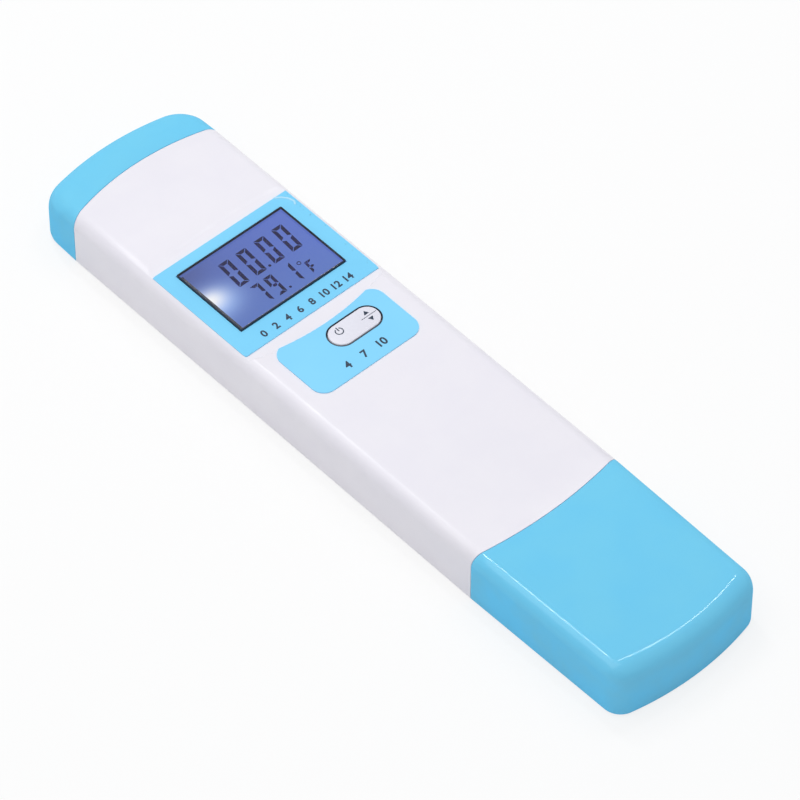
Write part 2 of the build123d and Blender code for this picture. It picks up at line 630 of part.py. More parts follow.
def controller_chip():
    """Square controller with pins on four sides."""
    return chip(CONTROLLER, CONTROLLER_PINS, True)


def amplifier_chip():
    """High-impedance amplifier with pins on two sides."""
    return chip(AMPLIFIER, AMPLIFIER_PINS, False)


def crystal_can():
    """Metal crystal can."""
    x, rise, length, width, height = CRYSTAL
    plan = Pos(x, BOARD_LOW + rise) * SlotOverall(length, width)
    return prism(plan, BOARD_TOP, BOARD_TOP + height)


def radio_module():
    """Small radio board with its metal shield."""
    x, rise, length, width, height = RADIO
    y = BOARD_LOW + rise
    board = Pos(x, y, BOARD_TOP + height / 2) * Box(length, width, height)
    shield_y = y - (width - RADIO_SHIELD[1]) / 2 + FRAME_WALL
    return board + Pos(x, shield_y, BOARD_TOP + height + RADIO_SHIELD[2] / 2) * Box(*RADIO_SHIELD)


def board_capacitors():
    """Block capacitors on the board."""
    z = BOARD_TOP + CAPACITOR_SIZE[2] / 2
    return [Pos(x, BOARD_LOW + rise, z) * Box(*CAPACITOR_SIZE) for x, rise in CAPACITORS]


def lead_sockets():
    """Sockets of the sensor's two leads."""
    sockets = []
    for x in SOCKET_PLACES:
        y = BOARD_LOW + SOCKET_INSET + SOCKET_SIZE[1] / 2
        body = Pos(x, y, BOARD_TOP + SOCKET_SIZE[2] / 2) * Box(*SOCKET_SIZE)
        well = Box(SOCKET_SIZE[0] - 2 * SOCKET_WALL, SOCKET_SIZE[1] - 2 * SOCKET_WALL, SOCKET_SIZE[2])
        sockets.append(body - Pos(x, y, BOARD_TOP + SOCKET_SIZE[2]) * well)
    return sockets


def board_carrier():
    """Sled under the board: two lipped rails joined by cross bars."""
    end = CARRIER_END
    lap_end = COLLAR_END + LAP_LENGTH
    sled = both_sides(RAIL_IN, RAIL_OUT, lap_end + FILM, end, WALL, BOARD_BOTTOM)
    sled += both_sides(RAIL_IN, RAIL_OUT, COLLAR_END + FILM, lap_end + 2 * FILM, LAP_HEIGHT, BOARD_BOTTOM)
    sled += both_sides(RAIL_OUT - RAIL_LIP, RAIL_OUT, BOARD_LOW, end, BOARD_BOTTOM - FILM, BOARD_TOP)
    for y in sorted({y for x, y in board_screw_places()}):
        sled += block(-RAIL_IN, RAIL_IN, y - CROSS_BAR / 2, y + CROSS_BAR / 2, BOARD_BOTTOM - CROSS_BAR_THICK,
                      BOARD_BOTTOM)
    sled += block(-RAIL_IN, RAIL_IN, end - CROSS_BAR, end, WALL, WALL + END_BAR_THICK)
    for x, y in board_screw_places():
        sled -= disc(SCREW_RADIUS, WALL, BOARD_BOTTOM + 1, x, y)
    for x, y in carrier_screw_places():
        sled -= disc(SCREW_RADIUS + SCREW_FREE, WALL, BOARD_BOTTOM + 1, x, y)
    return sled


def battery_holder():
    """Tray under the board; the cell slides in from the battery cap's side."""
    half = CELL_RADIUS + CELL_PLAY + HOLDER_WALL
    back = CELL_Y - HOLDER_BACK
    front = CELL_Y + HOLDER_FRONT
    tray = block(-half, half, back, front, HOLDER_LOW, BOARD_BOTTOM)
    floor = HOLDER_LOW + HOLDER_FLOOR
    channel = CELL_RADIUS + CELL_PLAY
    tray -= disc(channel, floor, POCKET_TOP, 0, CELL_Y)
    tray -= block(-channel, channel, CELL_Y, front + 1, floor, POCKET_TOP)
    tray -= disc(FINGER_RADIUS, HOLDER_LOW - 1, floor + 1, 0, front)
    width = CONTACT_WIDTH / 2 + FILM
    for x, z in ((-CONTACT_OFFSET, floor), (CONTACT_OFFSET, CELL_Z + CELL_THICK)):
        tray -= block(x - width, x + width, back - 1, CELL_Y, z, z + CONTACT_THICK + FILM)
    return tray


def coin_cell():
    """Coin cell with its smaller negative face down."""
    can = disc(CELL_RADIUS, CELL_Z + CELL_CAP_STEP, CELL_Z + CELL_THICK, 0, CELL_Y)
    can = chamfer(can.edges(), CELL_EDGE)
    return can + disc(CELL_RADIUS - CELL_RIM, CELL_Z, CELL_Z + 2 * CELL_CAP_STEP, 0, CELL_Y)


def contact(x, z):
    """Spring leaf along the cell with a leg up to the board."""
    back = CELL_Y - HOLDER_BACK
    half = CONTACT_WIDTH / 2
    leaf = block(x - half, x + half, back - CONTACT_THICK, CELL_Y + CONTACT_REACH, z, z + CONTACT_THICK)
    return leaf + block(x - half, x + half, back - CONTACT_THICK, back, z, BOARD_BOTTOM)


def negative_contact():
    """Leaf under the cell."""
    return contact(-CONTACT_OFFSET, CELL_Z - CONTACT_THICK)


def positive_contact():
    """Leaf above the cell."""
    return contact(CONTACT_OFFSET, CELL_Z + CELL_THICK)


def electrode_collar():
    """Collar that closes the sleeve, carries the sensor and makes the cap's spigot."""
    collar = rounded_bar(WALL + FIT_CLEAR, SPIGOT_END, Y_LOW + FILM)
    collar += rounded_bar(WALL + FILM, Y_LOW, COLLAR_END)
    collar -= rounded_bar(WALL + FIT_CLEAR + SPIGOT_WALL, WEB_BACK, COLLAR_END + 1)
    collar -= rod(TUBE_RADIUS + RUN_CLEAR, SPIGOT_END - 1, COLLAR_END + 1)
    collar -= rod(PROBE_RADIUS + RUN_CLEAR, SPIGOT_END - 1, WEB_BACK + 1, PROBE_OFFSET)
    collar -= seal_groove(SPIGOT_SEAL_Y, WALL + FIT_CLEAR)
    collar += both_sides(RAIL_IN, RAIL_OUT, COLLAR_END - FILM, COLLAR_END + LAP_LENGTH, WALL + FILM,
                         LAP_HEIGHT - FILM)
    for x, y in carrier_screw_places():
        collar -= disc(SCREW_RADIUS, 0, LAP_HEIGHT + 1, x, y)
    return collar


def electrode_tube():
    """Outer tube of the electrode with its closed front."""
    tube = rod(TUBE_RADIUS, TUBE_FRONT, TUBE_BACK)
    tube -= rod(TUBE_RADIUS - TUBE_WALL, TUBE_FRONT + TUBE_PLUG, TUBE_BACK + 1)
    tube -= rod(STEM_RADIUS + FILM, TUBE_FRONT - 1, TUBE_FRONT + TUBE_PLUG + 1)
    return tube - rod(JUNCTION_RADIUS, TUBE_FRONT - 1, TUBE_FRONT + TUBE_PLUG + 1, 0, MID_Z - ANNULUS_RADIUS)


def glass_bulb():
    """Thin glass bulb on its hollow stem."""
    stem_end = TUBE_BACK - REAR_PLUG
    outer = Pos(0, BULB_Y, MID_Z) * Sphere(BULB_RADIUS) + rod(STEM_RADIUS, BULB_Y, stem_end)
    radius = BULB_RADIUS - BULB_WALL
    inner = [(radius * sin(radians(angle)), -radius * cos(radians(angle))) for angle in range(0, 181, 30)]
    cavity = revolve(make_face(Polyline(*inner, close=True)), Axis.Y)
    return outer - Pos(0, BULB_Y, MID_Z) * cavity - rod(STEM_RADIUS - STEM_WALL, BULB_Y, stem_end + 1)


def sensing_wire():
    """Silver wire in the middle of the stem."""
    return rod(WIRE_RADIUS, BULB_Y + SENSING_GAP, TUBE_BACK - REAR_PLUG)


def reference_wire():
    """Silver wire in the space between stem and tube."""
    start = TUBE_FRONT + TUBE_PLUG + REFERENCE_SHORT
    return rod(WIRE_RADIUS, start, TUBE_BACK - REAR_PLUG, 0, MID_Z + ANNULUS_RADIUS)


def reference_junction():
    """Porous pin through the tube's front."""
    return rod(JUNCTION_RADIUS, TUBE_FRONT - FILM, TUBE_FRONT + TUBE_PLUG, 0, MID_Z - ANNULUS_RADIUS)


def electrode_plug():
    """Cast plug that closes the back of the tube."""
    return rod(TUBE_RADIUS - TUBE_WALL, TUBE_BACK - REAR_PLUG, TUBE_BACK)


def electrode_guard():
    """Slotted guard round the bulb, pushed on the tube."""
    guard = rod(GUARD_RADIUS, GUARD_END, TUBE_FRONT + GUARD_RING) - rod(TUBE_RADIUS, GUARD_END - 1, Y_LOW)
    middle = (GUARD_END + GUARD_END_RING + TUBE_FRONT) / 2
    length = TUBE_FRONT - GUARD_END - GUARD_END_RING
    for size in ((GUARD_SLOT, length, 3 * GUARD_RADIUS), (3 * GUARD_RADIUS, length, GUARD_SLOT)):
        guard -= Pos(0, middle, MID_Z) * Box(*size)
    return guard


def temperature_probe():
    """Steel probe with a round tip."""
    tip = GUARD_END + PROBE_SHORTER + PROBE_RADIUS
    rounded = Pos(PROBE_OFFSET, tip, MID_Z) * Sphere(PROBE_RADIUS)
    return rod(PROBE_RADIUS, tip, PROBE_END, PROBE_OFFSET) + rounded


def lead(points, radius, bend):
    """Round lead along straight runs joined by arcs."""
    path = FilletPolyline(*points, radius=bend)
    return sweep(Plane(origin=path @ 0, z_dir=path % 0) * Circle(radius), path=path)


def socket_entry(x):
    """Point where a lead enters its socket."""
    return x, BOARD_LOW + SOCKET_INSET, BOARD_TOP + SOCKET_SIZE[2] / 2


def electrode_lead():
    """Screened lead from the electrode to the board."""
    x, y, z = socket_entry(SOCKET_PLACES[0])
    rise = (y - TUBE_BACK) * LEAD_RUN
    return lead([(0, TUBE_BACK, MID_Z), (0, TUBE_BACK + rise, MID_Z), (x, y - rise, z), (x, y, z)],
                LEAD_RADIUS, LEAD_BEND)


def probe_lead():
    """Lead from the temperature probe to the board."""
    x, y, z = socket_entry(SOCKET_PLACES[1])
    rise = (y - PROBE_END) * LEAD_RUN
    return lead([(PROBE_OFFSET, PROBE_END, MID_Z), (PROBE_OFFSET, PROBE_END + rise, MID_Z), (x, y - rise, z),
                 (x, y, z)], PROBE_LEAD_RADIUS, PROBE_LEAD_BEND)


def parts():
    """Every node of the pen by name."""
    return {
        "body_sleeve": body_sleeve(),
        "protective_cap": protective_cap(),
        "cap_sponge": cap_sponge(),
        "battery_cap": battery_cap(),
        "battery_cap_seal": seal_ring(TONGUE_SEAL_Y, WALL + TONGUE_CLEAR),
        "display_overlay": display_overlay(),
        "key_overlay": key_overlay(),
        "window_lens": window_lens(),
        "lcd_glass": lcd_glass(),
        "lcd_frame": lcd_frame(),
        "backlight_guide": backlight_guide(),
        "backlight_led": backlight_led(),
        "zebra_strip": zebra_strip(),
        "rocker_key": rocker_key(),
        "key_mat": key_mat(),
        "contact_pills": contact_pills(),
        "main_board": main_board(),
        "controller_chip": controller_chip(),
        "amplifier_chip": amplifier_chip(),
        "crystal_can": crystal_can(),
        "radio_module": radio_module(),
        "board_capacitors": board_capacitors(),
        "lead_sockets": lead_sockets(),
        "board_carrier": board_carrier(),
        "board_screws": board_screws(),
        "carrier_screws": carrier_screws(),
        "battery_holder": battery_holder(),
        "coin_cell": coin_cell(),
        "negative_contact": negative_contact(),
        "positive_contact": positive_contact(),
        "electrode_collar": electrode_collar(),
        "collar_seal": seal_ring(SPIGOT_SEAL_Y, WALL + FIT_CLEAR),
        "electrode_tube": electrode_tube(),
        "glass_bulb": glass_bulb(),
        "sensing_wire": sensing_wire(),
        "reference_wire": reference_wire(),
        "reference_junction": reference_junction(),
        "electrode_plug": electrode_plug(),
        "electrode_guard": electrode_guard(),
        "temperature_probe": temperature_probe(),
        "electrode_lead": electrode_lead(),
        "probe_lead": probe_lead(),
    }


os.makedirs("parts", exist_ok=True)
for node, shape in parts().items():
    solids = Compound(children=shape) if isinstance(shape, list) else shape
    export_step(solids, f"parts/{node}.step")
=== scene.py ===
"""Looks of the pH meter pen: smooth outer pieces, prints, lit display, materials, light and camera.

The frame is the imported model's: +Z out of the display, +Y towards the battery cap, +X to the
reader's right, origin on the resting face below the middle of the pen. Sizes here are in
millimetres and become metres when a mesh is made.
"""
import bmesh
import bpy
import json
import numpy as np
from math import cos, pi, radians, sin, sqrt, tan
from mathutils import Matrix, Vector


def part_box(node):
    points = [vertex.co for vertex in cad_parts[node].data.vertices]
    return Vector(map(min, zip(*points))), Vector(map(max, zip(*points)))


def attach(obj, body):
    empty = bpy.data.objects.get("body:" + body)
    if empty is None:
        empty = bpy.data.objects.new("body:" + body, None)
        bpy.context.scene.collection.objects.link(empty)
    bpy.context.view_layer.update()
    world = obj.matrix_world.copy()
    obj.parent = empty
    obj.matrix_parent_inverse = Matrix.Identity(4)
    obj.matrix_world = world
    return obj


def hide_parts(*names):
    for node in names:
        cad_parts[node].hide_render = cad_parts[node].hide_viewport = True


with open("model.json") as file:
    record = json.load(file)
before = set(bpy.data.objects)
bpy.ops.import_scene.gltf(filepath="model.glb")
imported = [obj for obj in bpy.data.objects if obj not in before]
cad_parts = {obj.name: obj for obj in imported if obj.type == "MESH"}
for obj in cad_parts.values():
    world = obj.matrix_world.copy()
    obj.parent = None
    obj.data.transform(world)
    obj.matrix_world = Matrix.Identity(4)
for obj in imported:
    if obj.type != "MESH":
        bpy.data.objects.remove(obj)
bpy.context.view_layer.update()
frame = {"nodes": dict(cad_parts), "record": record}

MM = 0.001


def corners(node):
    """Lowest and highest corner of a CAD node, in millimetres."""
    low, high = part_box(node)
    return np.array(low) / MM, np.array(high) / MM


SLEEVE_MIN, SLEEVE_MAX = corners("body_sleeve")
LENS_MIN, LENS_MAX = corners("window_lens")
LABEL_MIN, LABEL_MAX = corners("display_overlay")
KEY_MIN, KEY_MAX = corners("rocker_key")
KEY_LABEL_TOP = corners("key_overlay")[1][2]
GLASS_TOP = corners("lcd_glass")[1][2]
TONGUE_END = corners("battery_cap")[0][1]

# Form of the shell, as in the solids
HALF = SLEEVE_MAX[0]
THICK = SLEEVE_MAX[2]
WALL = 1.5
SIDE_ROUND = 3.0
BACK_ROUND = 1.0
MIN_ROUND = 0.4
SEAM_GAP = 0.12
SEAM_EDGE = 0.06             # small round along the seams
LOW_SEAM_BOW = 1.9
TOP_SEAM_BOW = 3.4
Y_LOW = SLEEVE_MIN[1] + LOW_SEAM_BOW
Y_TOP = SLEEVE_MAX[1] - TOP_SEAM_BOW
TIP = {"sign": -1, "seam": Y_LOW, "seam_bow": LOW_SEAM_BOW, "bow": 2.7, "taper": 0.97, "corner": 4.4,
       "round": 4.3, "length": Y_LOW - corners("protective_cap")[0][1]}
END = {"sign": 1, "seam": Y_TOP, "seam_bow": TOP_SEAM_BOW, "bow": 3.1, "taper": 1.9, "corner": 7.1,
       "round": 6.6, "length": corners("battery_cap")[1][1] - Y_TOP}

# Recess, window and key
FLOOR_Z = LABEL_MIN[2]
LABEL_HALF = LABEL_MAX[0]
LABEL_TOP = LABEL_MAX[2]
RECESS_TOP = 54.6
RECESS_TOP_BOW = 1.4
RECESS_TOP_HALF = LABEL_HALF * 1.15
RIM_MID = 19.32
RIM_BOW = 2.9
RECESS_SLOPE = 1.3
LOW_SLOPE_SHARE = 0.4        # the lower rim is this much narrower than the upper one
CUT_PAST = 0.02              # how far the rim's cutter goes past the face
LENS_GAP = 0.1
LEDGE = 0.4
KEY_X = (KEY_MIN[0] + KEY_MAX[0]) / 2
KEY_Y = (KEY_MIN[1] + KEY_MAX[1]) / 2
KEY_LIP = 0.9
KEY_HALF_LENGTH = (KEY_MAX[0] - KEY_MIN[0]) / 2 - KEY_LIP
KEY_RADIUS = (KEY_MAX[1] - KEY_MIN[1]) / 2 - KEY_LIP
KEY_TOP = KEY_MAX[2]
KEY_GAP = 0.3
KEY_ROUND = 0.3
KEY_LIP_LOW = 10.65
KEY_LIP_TOP = 11.35
PRINT = 0.02                 # thickness of printed ink

# Hidden mechanism that the smooth pieces repeat
TONGUE_INSET = 1.7
TONGUE_INSIDE = 2.9
TONGUE_REACH = 0.2           # the tongue's full width goes this far past the seam's low ends
ROOT_START = 0.6             # both measured from the middle of the seam
ROOT_END = 3.2
TONGUE_CHAMFER = 0.3
ROOT_BITE = 0.2              # how far the root reaches into the cap's wall
SEAL_Y = TONGUE_END + 2.6
SEAL_WIDTH = 1.6
SEAL_DEPTH = 0.5
FOOT_REACH = 3.6
FOOT_RADIUS = 1.3
FOOT_LOW = 10.05
FOOT_BITE = 0.05             # how far a foot reaches into the lip
PIVOT_RADIUS = 0.5
PIVOT_Z = 10.55
PIVOT_LENGTH = 4.4
RIB_OUT = 18.875
RIB_IN = 17.4
RIB_Y = (-24.8, 63.8)
RIB_Z = (7.9, 8.7)

CROWN_STEPS = 22
BACK_STEPS = 5
ARC_STEPS = 36
KEY_STEPS = 24
DISC_STEPS = 48
STROKE_STEPS = 28
SHARP_ANGLE = 35
NODE_SHARP_ANGLE = 34

# Lifted crease of the display label: its line in plan, its height and half width
CREASE = ((15.2, 52.2), (16.3, 51.5), (17.2, 50.3), (17.6, 48.9), (17.2, 48.2))
CREASE_HEIGHT = 0.24
CREASE_SPREAD = 0.18
CREASE_PALE = (0.05, 0.2)    # it turns paler between these heights over the label
CREASE_FROM = 47.0           # the label's mesh is finer from here up
LABEL_PULL = 0.12            # how far the label's corners are drawn in


def srgb(red, green, blue):
    """Colour written as on screen, 0 to 255, turned into the linear colour that nodes take."""
    channels = [c / 255 for c in (red, green, blue)]
    return tuple(c / 12.92 if c <= 0.04045 else ((c + 0.055) / 1.055) ** 2.4 for c in channels) + (1.0,)


# Meshes

def object_from(name, work):
    """Object from a bmesh: doubles merged, faces turned outward, smooth below the sharp angle."""
    bmesh.ops.remove_doubles(work, verts=work.verts, dist=1e-7)
    bmesh.ops.recalc_face_normals(work, faces=work.faces)
    mesh = bpy.data.meshes.new(name)
    work.to_mesh(mesh)
    work.free()
    made = bpy.data.objects.new(name, mesh)
    bpy.context.scene.collection.objects.link(made)
    smooth(made)
    return made


def piece(name, points, faces):
    """Closed mesh object from points in millimetres."""
    mesh = bpy.data.meshes.new(name + "_draft")
    mesh.from_pydata((np.asarray(points, float) * MM).tolist(), [], [list(map(int, f)) for f in faces])
    work = bmesh.new()
    work.from_mesh(mesh)
    bpy.data.meshes.remove(mesh)
    return object_from(name, work)


def smooth(obj):
    """Smooth shading, with edges kept above the sharp angle."""
    obj.data.shade_smooth()
    obj.data.set_sharp_from_angle(angle=radians(SHARP_ANGLE))


def skin(loops, around=False):
    """Points and faces over closed loops of equal length; the ends are closed, or joined to each other."""
    loops = np.asarray(loops, float)
    count, size = loops.shape[:2]
    faces = []
    for i in range(count if around else count - 1):
        j = (i + 1) % count
        for k in range(size):
            n = (k + 1) % size
            faces.append((i * size + k, i * size + n, j * size + n, j * size + k))
    if not around:
        faces.append(range(size - 1, -1, -1))
        faces.append(range((count - 1) * size, count * size))
    return loops.reshape(-1, 3), faces


def merge(*meshes):
    """Several points-and-faces pairs as one."""
    points, faces = [], []
    for more_points, more_faces in meshes:
        start = sum(len(p) for p in points)
        points.append(np.asarray(more_points, float))
        faces += [[start + i for i in f] for f in more_faces]
    return np.vstack(points), faces


def lifted(outline, z):
    """Plan outline at a height."""
    outline = np.asarray(outline, float)
    return np.column_stack([outline, np.full(len(outline), z)])


def prism(outline, low, high):
    """Plan outline made solid between two heights."""
    return skin([lifted(outline, low), lifted(outline, high)])


def box_mesh(low, high):
    """Box between two corners."""
    (x0, y0, z0), (x1, y1, z1) = low, high
    return prism([(x0, y0), (x1, y0), (x1, y1), (x0, y1)], z0, z1)


def disc(x, y, radius, low, high):
    """Upright round bar."""
    angles = np.linspace(0, 2 * pi, DISC_STEPS, endpoint=False)
    return prism(np.column_stack([x + radius * np.cos(angles), y + radius * np.sin(angles)]), low, high)


def baked(obj):
    """Modifiers worked into the mesh."""
    graph = bpy.context.evaluated_depsgraph_get()
    mesh = bpy.data.meshes.new_from_object(obj.evaluated_get(graph))
    obj.modifiers.clear()
    obj.data = mesh


def combine(obj, tool, operation="DIFFERENCE"):
    """Cuts the tool mesh out of obj, or joins it on."""
    cutter = piece(obj.name + "_tool", *tool)
    change = obj.modifiers.new("change", "BOOLEAN")
    change.operation = operation
    change.solver = "EXACT"
    change.object = cutter
    baked(obj)
    bpy.data.objects.remove(cutter)
    smooth(obj)
    return obj


# Form of the shell

def drawn_in(rise, radius):
    """How far a quarter round has drawn the outline in, this high above its start."""
    rise = min(max(rise, 0.0), radius)
    return radius - sqrt(radius ** 2 - rise ** 2)


def bulge(x, bow, half=HALF):
    """Height at x of a circular bow that spans from -half to half."""
    radius = (half ** 2 + bow ** 2) / (2 * bow)
    return bow - radius + np.sqrt(radius ** 2 - np.asarray(x, float) ** 2)


def levels(inset, crown):
    """Heights from the back face to the front face, close together in the outer roundings."""
    turns = np.radians(np.linspace(0, 90, BACK_STEPS))
    back = [BACK_ROUND * (1 - cos(a)) for a in turns]
    if inset:
        back = [inset + BACK_ROUND * b for b in np.linspace(0, 1, BACK_STEPS)]
    turns = np.radians(np.linspace(0, 90, CROWN_STEPS))
    return back + [THICK - inset - (crown - inset) * (1 - sin(a)) for a in turns]


def side_inset(z, inset, crown):
    """How far the outline is drawn in at height z by one of the front roundings and the back rounding."""
    back = 0.0 if inset else drawn_in(BACK_ROUND - z, BACK_ROUND)
    return inset + back + drawn_in(z - THICK + crown, crown - inset)


def plan_half(cap, z, inset, start):
    """Right half of a cap's outline at height z, from the seam to the middle of its end.

    Along the pen, s runs from the seam outward. The side is a line with the cap's taper, the end
    a circle through (+-end_half, end_side) that rises by the bow, and the corner a circle of radius
    r whose centre lies r inside the side line and R - r from the end circle's centre.
    """
    side = side_inset(z, inset, SIDE_ROUND)
    end = side_inset(z, inset, cap["round"])
    half = HALF - side
    end_side = cap["length"] - end - cap["bow"]
    end_half = half - end_side * tan(radians(cap["taper"]))
    big = (end_half ** 2 + cap["bow"] ** 2) / (2 * cap["bow"])
    middle = np.array([0.0, end_side + cap["bow"] - big])
    corner = max(cap["corner"] - side, MIN_ROUND)
    foot = np.array([half, 0.0])
    along = np.array([end_half - half, end_side])
    along /= np.linalg.norm(along)
    inward = np.array([-along[1], along[0]])
    offset = foot + inward * corner - middle
    reach = offset @ along
    t = -reach + sqrt(reach ** 2 - offset @ offset + (big - corner) ** 2)
    centre = foot + along * t + inward * corner
    first = foot + along * t
    last = middle + (centre - middle) * big / (big - corner)
    seam = SEAM_GAP + bulge(half, cap["seam_bow"]) + start
    line = [foot + along * (seam / along[1] * (1 - v) + t * v) for v in np.linspace(0, 1, 10)]
    turn = [np.arctan2(*(p - centre)[::-1]) for p in (first, last)]
    fillet = [centre + corner * np.array([cos(a), sin(a)]) for a in np.linspace(*turn, 17)[1:]]
    sweep = [np.arctan2(*(last - middle)[::-1]), pi / 2]
    arc = [middle + big * np.array([cos(a), sin(a)]) for a in np.linspace(*sweep, 21)[1:]]
    return np.array(line + fillet + arc)


def across(half):
    """Points between the two ends of a flat stretch."""
    return np.linspace(-half, half, ARC_STEPS + 2)[1:-1]


def shrunk(loop, amount, shift):
    """Section loop moved in along its own normals by amount, and along the pen by shift."""
    flat = loop[:, [0, 2]]
    step = np.roll(flat, -1, 0) - np.roll(flat, 1, 0)
    normal = np.column_stack([step[:, 1], -step[:, 0]])
    normal /= np.linalg.norm(normal, axis=1)[:, None]
    moved = loop.copy()
    moved[:, 0] -= normal[:, 0] * amount
    moved[:, 2] -= normal[:, 1] * amount
    moved[:, 1] += shift
    return moved


def cap_skin(cap, inset, start):
    """Cap surface without its mouth: points, faces and the indices of the loop at the mouth."""
    heights = levels(inset, cap["round"])
    rows = []
    for z in heights:
        half = plan_half(cap, z, inset, start)
        half = np.vstack([half, (half[:-1] * [-1, 1])[::-1]])
        half = np.column_stack([half[:, 0], cap["seam"] + cap["sign"] * half[:, 1], np.full(len(half), z)])
        rows.append(half)
    rows = np.array(rows)
    count, size = rows.shape[:2]
    points = rows.reshape(-1, 3)
    faces = [(i * size + k, i * size + k + 1, (i + 1) * size + k + 1, (i + 1) * size + k)
             for i in range(count - 1) for k in range(size - 1)]
    front_x = across(rows[-1, 0, 0])[::-1]
    back_x = across(rows[0, 0, 0])
    arcs = []
    for x, z in ((front_x, heights[-1]), (back_x, heights[0])):
        s = SEAM_GAP + bulge(x, cap["seam_bow"]) + start
        arcs.append(np.column_stack([x, cap["seam"] + cap["sign"] * s, np.full(len(x), z)]))
    front = [len(points) + i for i in range(ARC_STEPS)]
    back = [len(points) + ARC_STEPS + i for i in range(ARC_STEPS)]
    top_row = [(count - 1) * size + k for k in range(size)]
    faces.append(top_row + front[::-1])
    faces.append(list(range(size)) + back)
    right = [i * size for i in range(count)]
    left = [i * size + size - 1 for i in range(count)]
    mouth = right + front + left[::-1] + back
    return np.vstack([points] + arcs), faces, mouth


EDGE_TURNS = [(SEAM_EDGE * (1 - cos(a)), SEAM_EDGE * sin(a)) for a in np.radians((30, 60, 90))]


def cap_mesh(cap):
    """Hollow cap with a small round along the mouth."""
    outer, outer_faces, mouth = cap_skin(cap, 0.0, SEAM_EDGE)
    inner, inner_faces, inner_mouth = cap_skin(cap, WALL, 0.0)
    loop = outer[mouth]
    rings = []
    for drop, out in EDGE_TURNS:
        rings.append(shrunk(loop, drop, -cap["sign"] * out))
    points = np.vstack([outer] + rings + [inner])
    size = len(mouth)
    chain = [mouth] + [[len(outer) + r * size + k for k in range(size)] for r in range(len(rings))]
    start = len(outer) + len(rings) * size
    chain.append([start + i for i in inner_mouth])
    faces = outer_faces + [[start + i for i in f] for f in inner_faces]
    for one, two in zip(chain, chain[1:]):
        for k in range(size):
            n = (k + 1) % size
            faces.append((one[k], one[n], two[n], two[k]))
    return points, faces


def straight_loop(inset, seam, bow, sign, back_off):
    """Section loop of the straight body on a bowed seam; back_off moves it away from the seam."""
    heights = levels(inset, SIDE_ROUND)
    column = []
    for z in heights:
        x = HALF - side_inset(z, inset, SIDE_ROUND)
        column.append((x, seam + sign * bulge(x, bow) - sign * back_off, z))
    column = np.array(column)
    flat = [across(column[i][0]) for i in (0, -1)]
    low_y, high_y = [seam + sign * bulge(x, bow) - sign * back_off for x in flat]
    left = column[::-1] * [-1, 1, 1]
    front = np.column_stack([flat[1][::-1], high_y[::-1], np.full(ARC_STEPS, heights[-1])])
    back = np.column_stack([flat[0], low_y, np.full(ARC_STEPS, heights[0])])
    return np.vstack([column, front, left, back])


def sleeve_mesh():
    """Open tube between the two bowed seams, with a small round on both outer edges."""
    low = straight_loop(0.0, Y_LOW, LOW_SEAM_BOW, -1, SEAM_EDGE)
    high = straight_loop(0.0, Y_TOP, TOP_SEAM_BOW, 1, SEAM_EDGE)
    loops = []
    for drop, out in EDGE_TURNS[::-1]:
        loops.append(shrunk(low, drop, -out))
    loops += [low + (high - low) * v for v in np.linspace(0, 1, 5)]
    for drop, out in EDGE_TURNS:
        loops.append(shrunk(high, drop, out))
    loops.append(straight_loop(WALL, Y_TOP, TOP_SEAM_BOW, 1, 0.0))
    loops.append(straight_loop(WALL, Y_LOW, LOW_SEAM_BOW, -1, 0.0))
    return skin(loops, around=True)


def recess_tool():
    """Cutter for the label recess: its bowed rims rise in a soft S over the slope's width."""
    x = np.linspace(-HALF - 1, HALF + 1, 61)
    held = np.clip(x, -HALF, HALF)
    top = RECESS_TOP - RECESS_TOP_BOW + bulge(held, RECESS_TOP_BOW, RECESS_TOP_HALF)
    low = RIM_MID + RIM_BOW - bulge(held, RIM_BOW, LABEL_HALF)
    loops = []
    for v in np.linspace(0, 1, 7):
        out = RECESS_SLOPE * v
        z = FLOOR_Z + (THICK - FLOOR_Z) * (3 * v ** 2 - 2 * v ** 3) + (CUT_PAST if v == 1 else 0.0)
        lower = np.column_stack([x, low - out * LOW_SLOPE_SHARE])
        ring = np.vstack([np.column_stack([x, top + out]), lower[::-1]])
        loops.append(lifted(ring, z))
    loops.append(loops[-1] + [0, 0, 1])
    return skin(loops)


def stadium(offset):
    """Plan of the key drawn out by offset: a bar with round ends."""
    reach = KEY_HALF_LENGTH - KEY_RADIUS
    radius = KEY_RADIUS + offset
    outline = []
    for side in (1, -1):
        for a in np.linspace(-pi / 2, pi / 2, KEY_STEPS):
            outline.append((KEY_X + side * (reach + radius * cos(a)), KEY_Y + side * radius * sin(a)))
    return np.array(outline)


def lens_area(margin):
    """The lens in plan drawn out by margin: lowest and highest x, lowest and highest y."""
    return LENS_MIN[0] - margin, LENS_MAX[0] + margin, LENS_MIN[1] - margin, LENS_MAX[1] + margin


def window_box(margin, low, high):
    """Box over the window drawn out by margin."""
    x0, x1, y0, y1 = lens_area(margin)
    return box_mesh((x0, y0, low), (x1, y1, high))


def make_sleeve():
    """White sleeve with its recess, stepped window opening, key opening and inner ribs."""
    above = THICK + 1
    inside = THICK - 2 * WALL
    sleeve = piece("sleeve_moulding", *sleeve_mesh())
    combine(sleeve, recess_tool())
    combine(sleeve, window_box(LENS_GAP, LENS_MIN[2], above))
    combine(sleeve, window_box(-LEDGE, inside, above))
    combine(sleeve, prism(stadium(KEY_GAP), inside, above))
    for side in (-1, 1):
        x0, x1 = sorted((side * RIB_IN, side * RIB_OUT))
        combine(sleeve, box_mesh((x0, RIB_Y[0], RIB_Z[0]), (x1, RIB_Y[1], RIB_Z[1])), "UNION")
    return sleeve


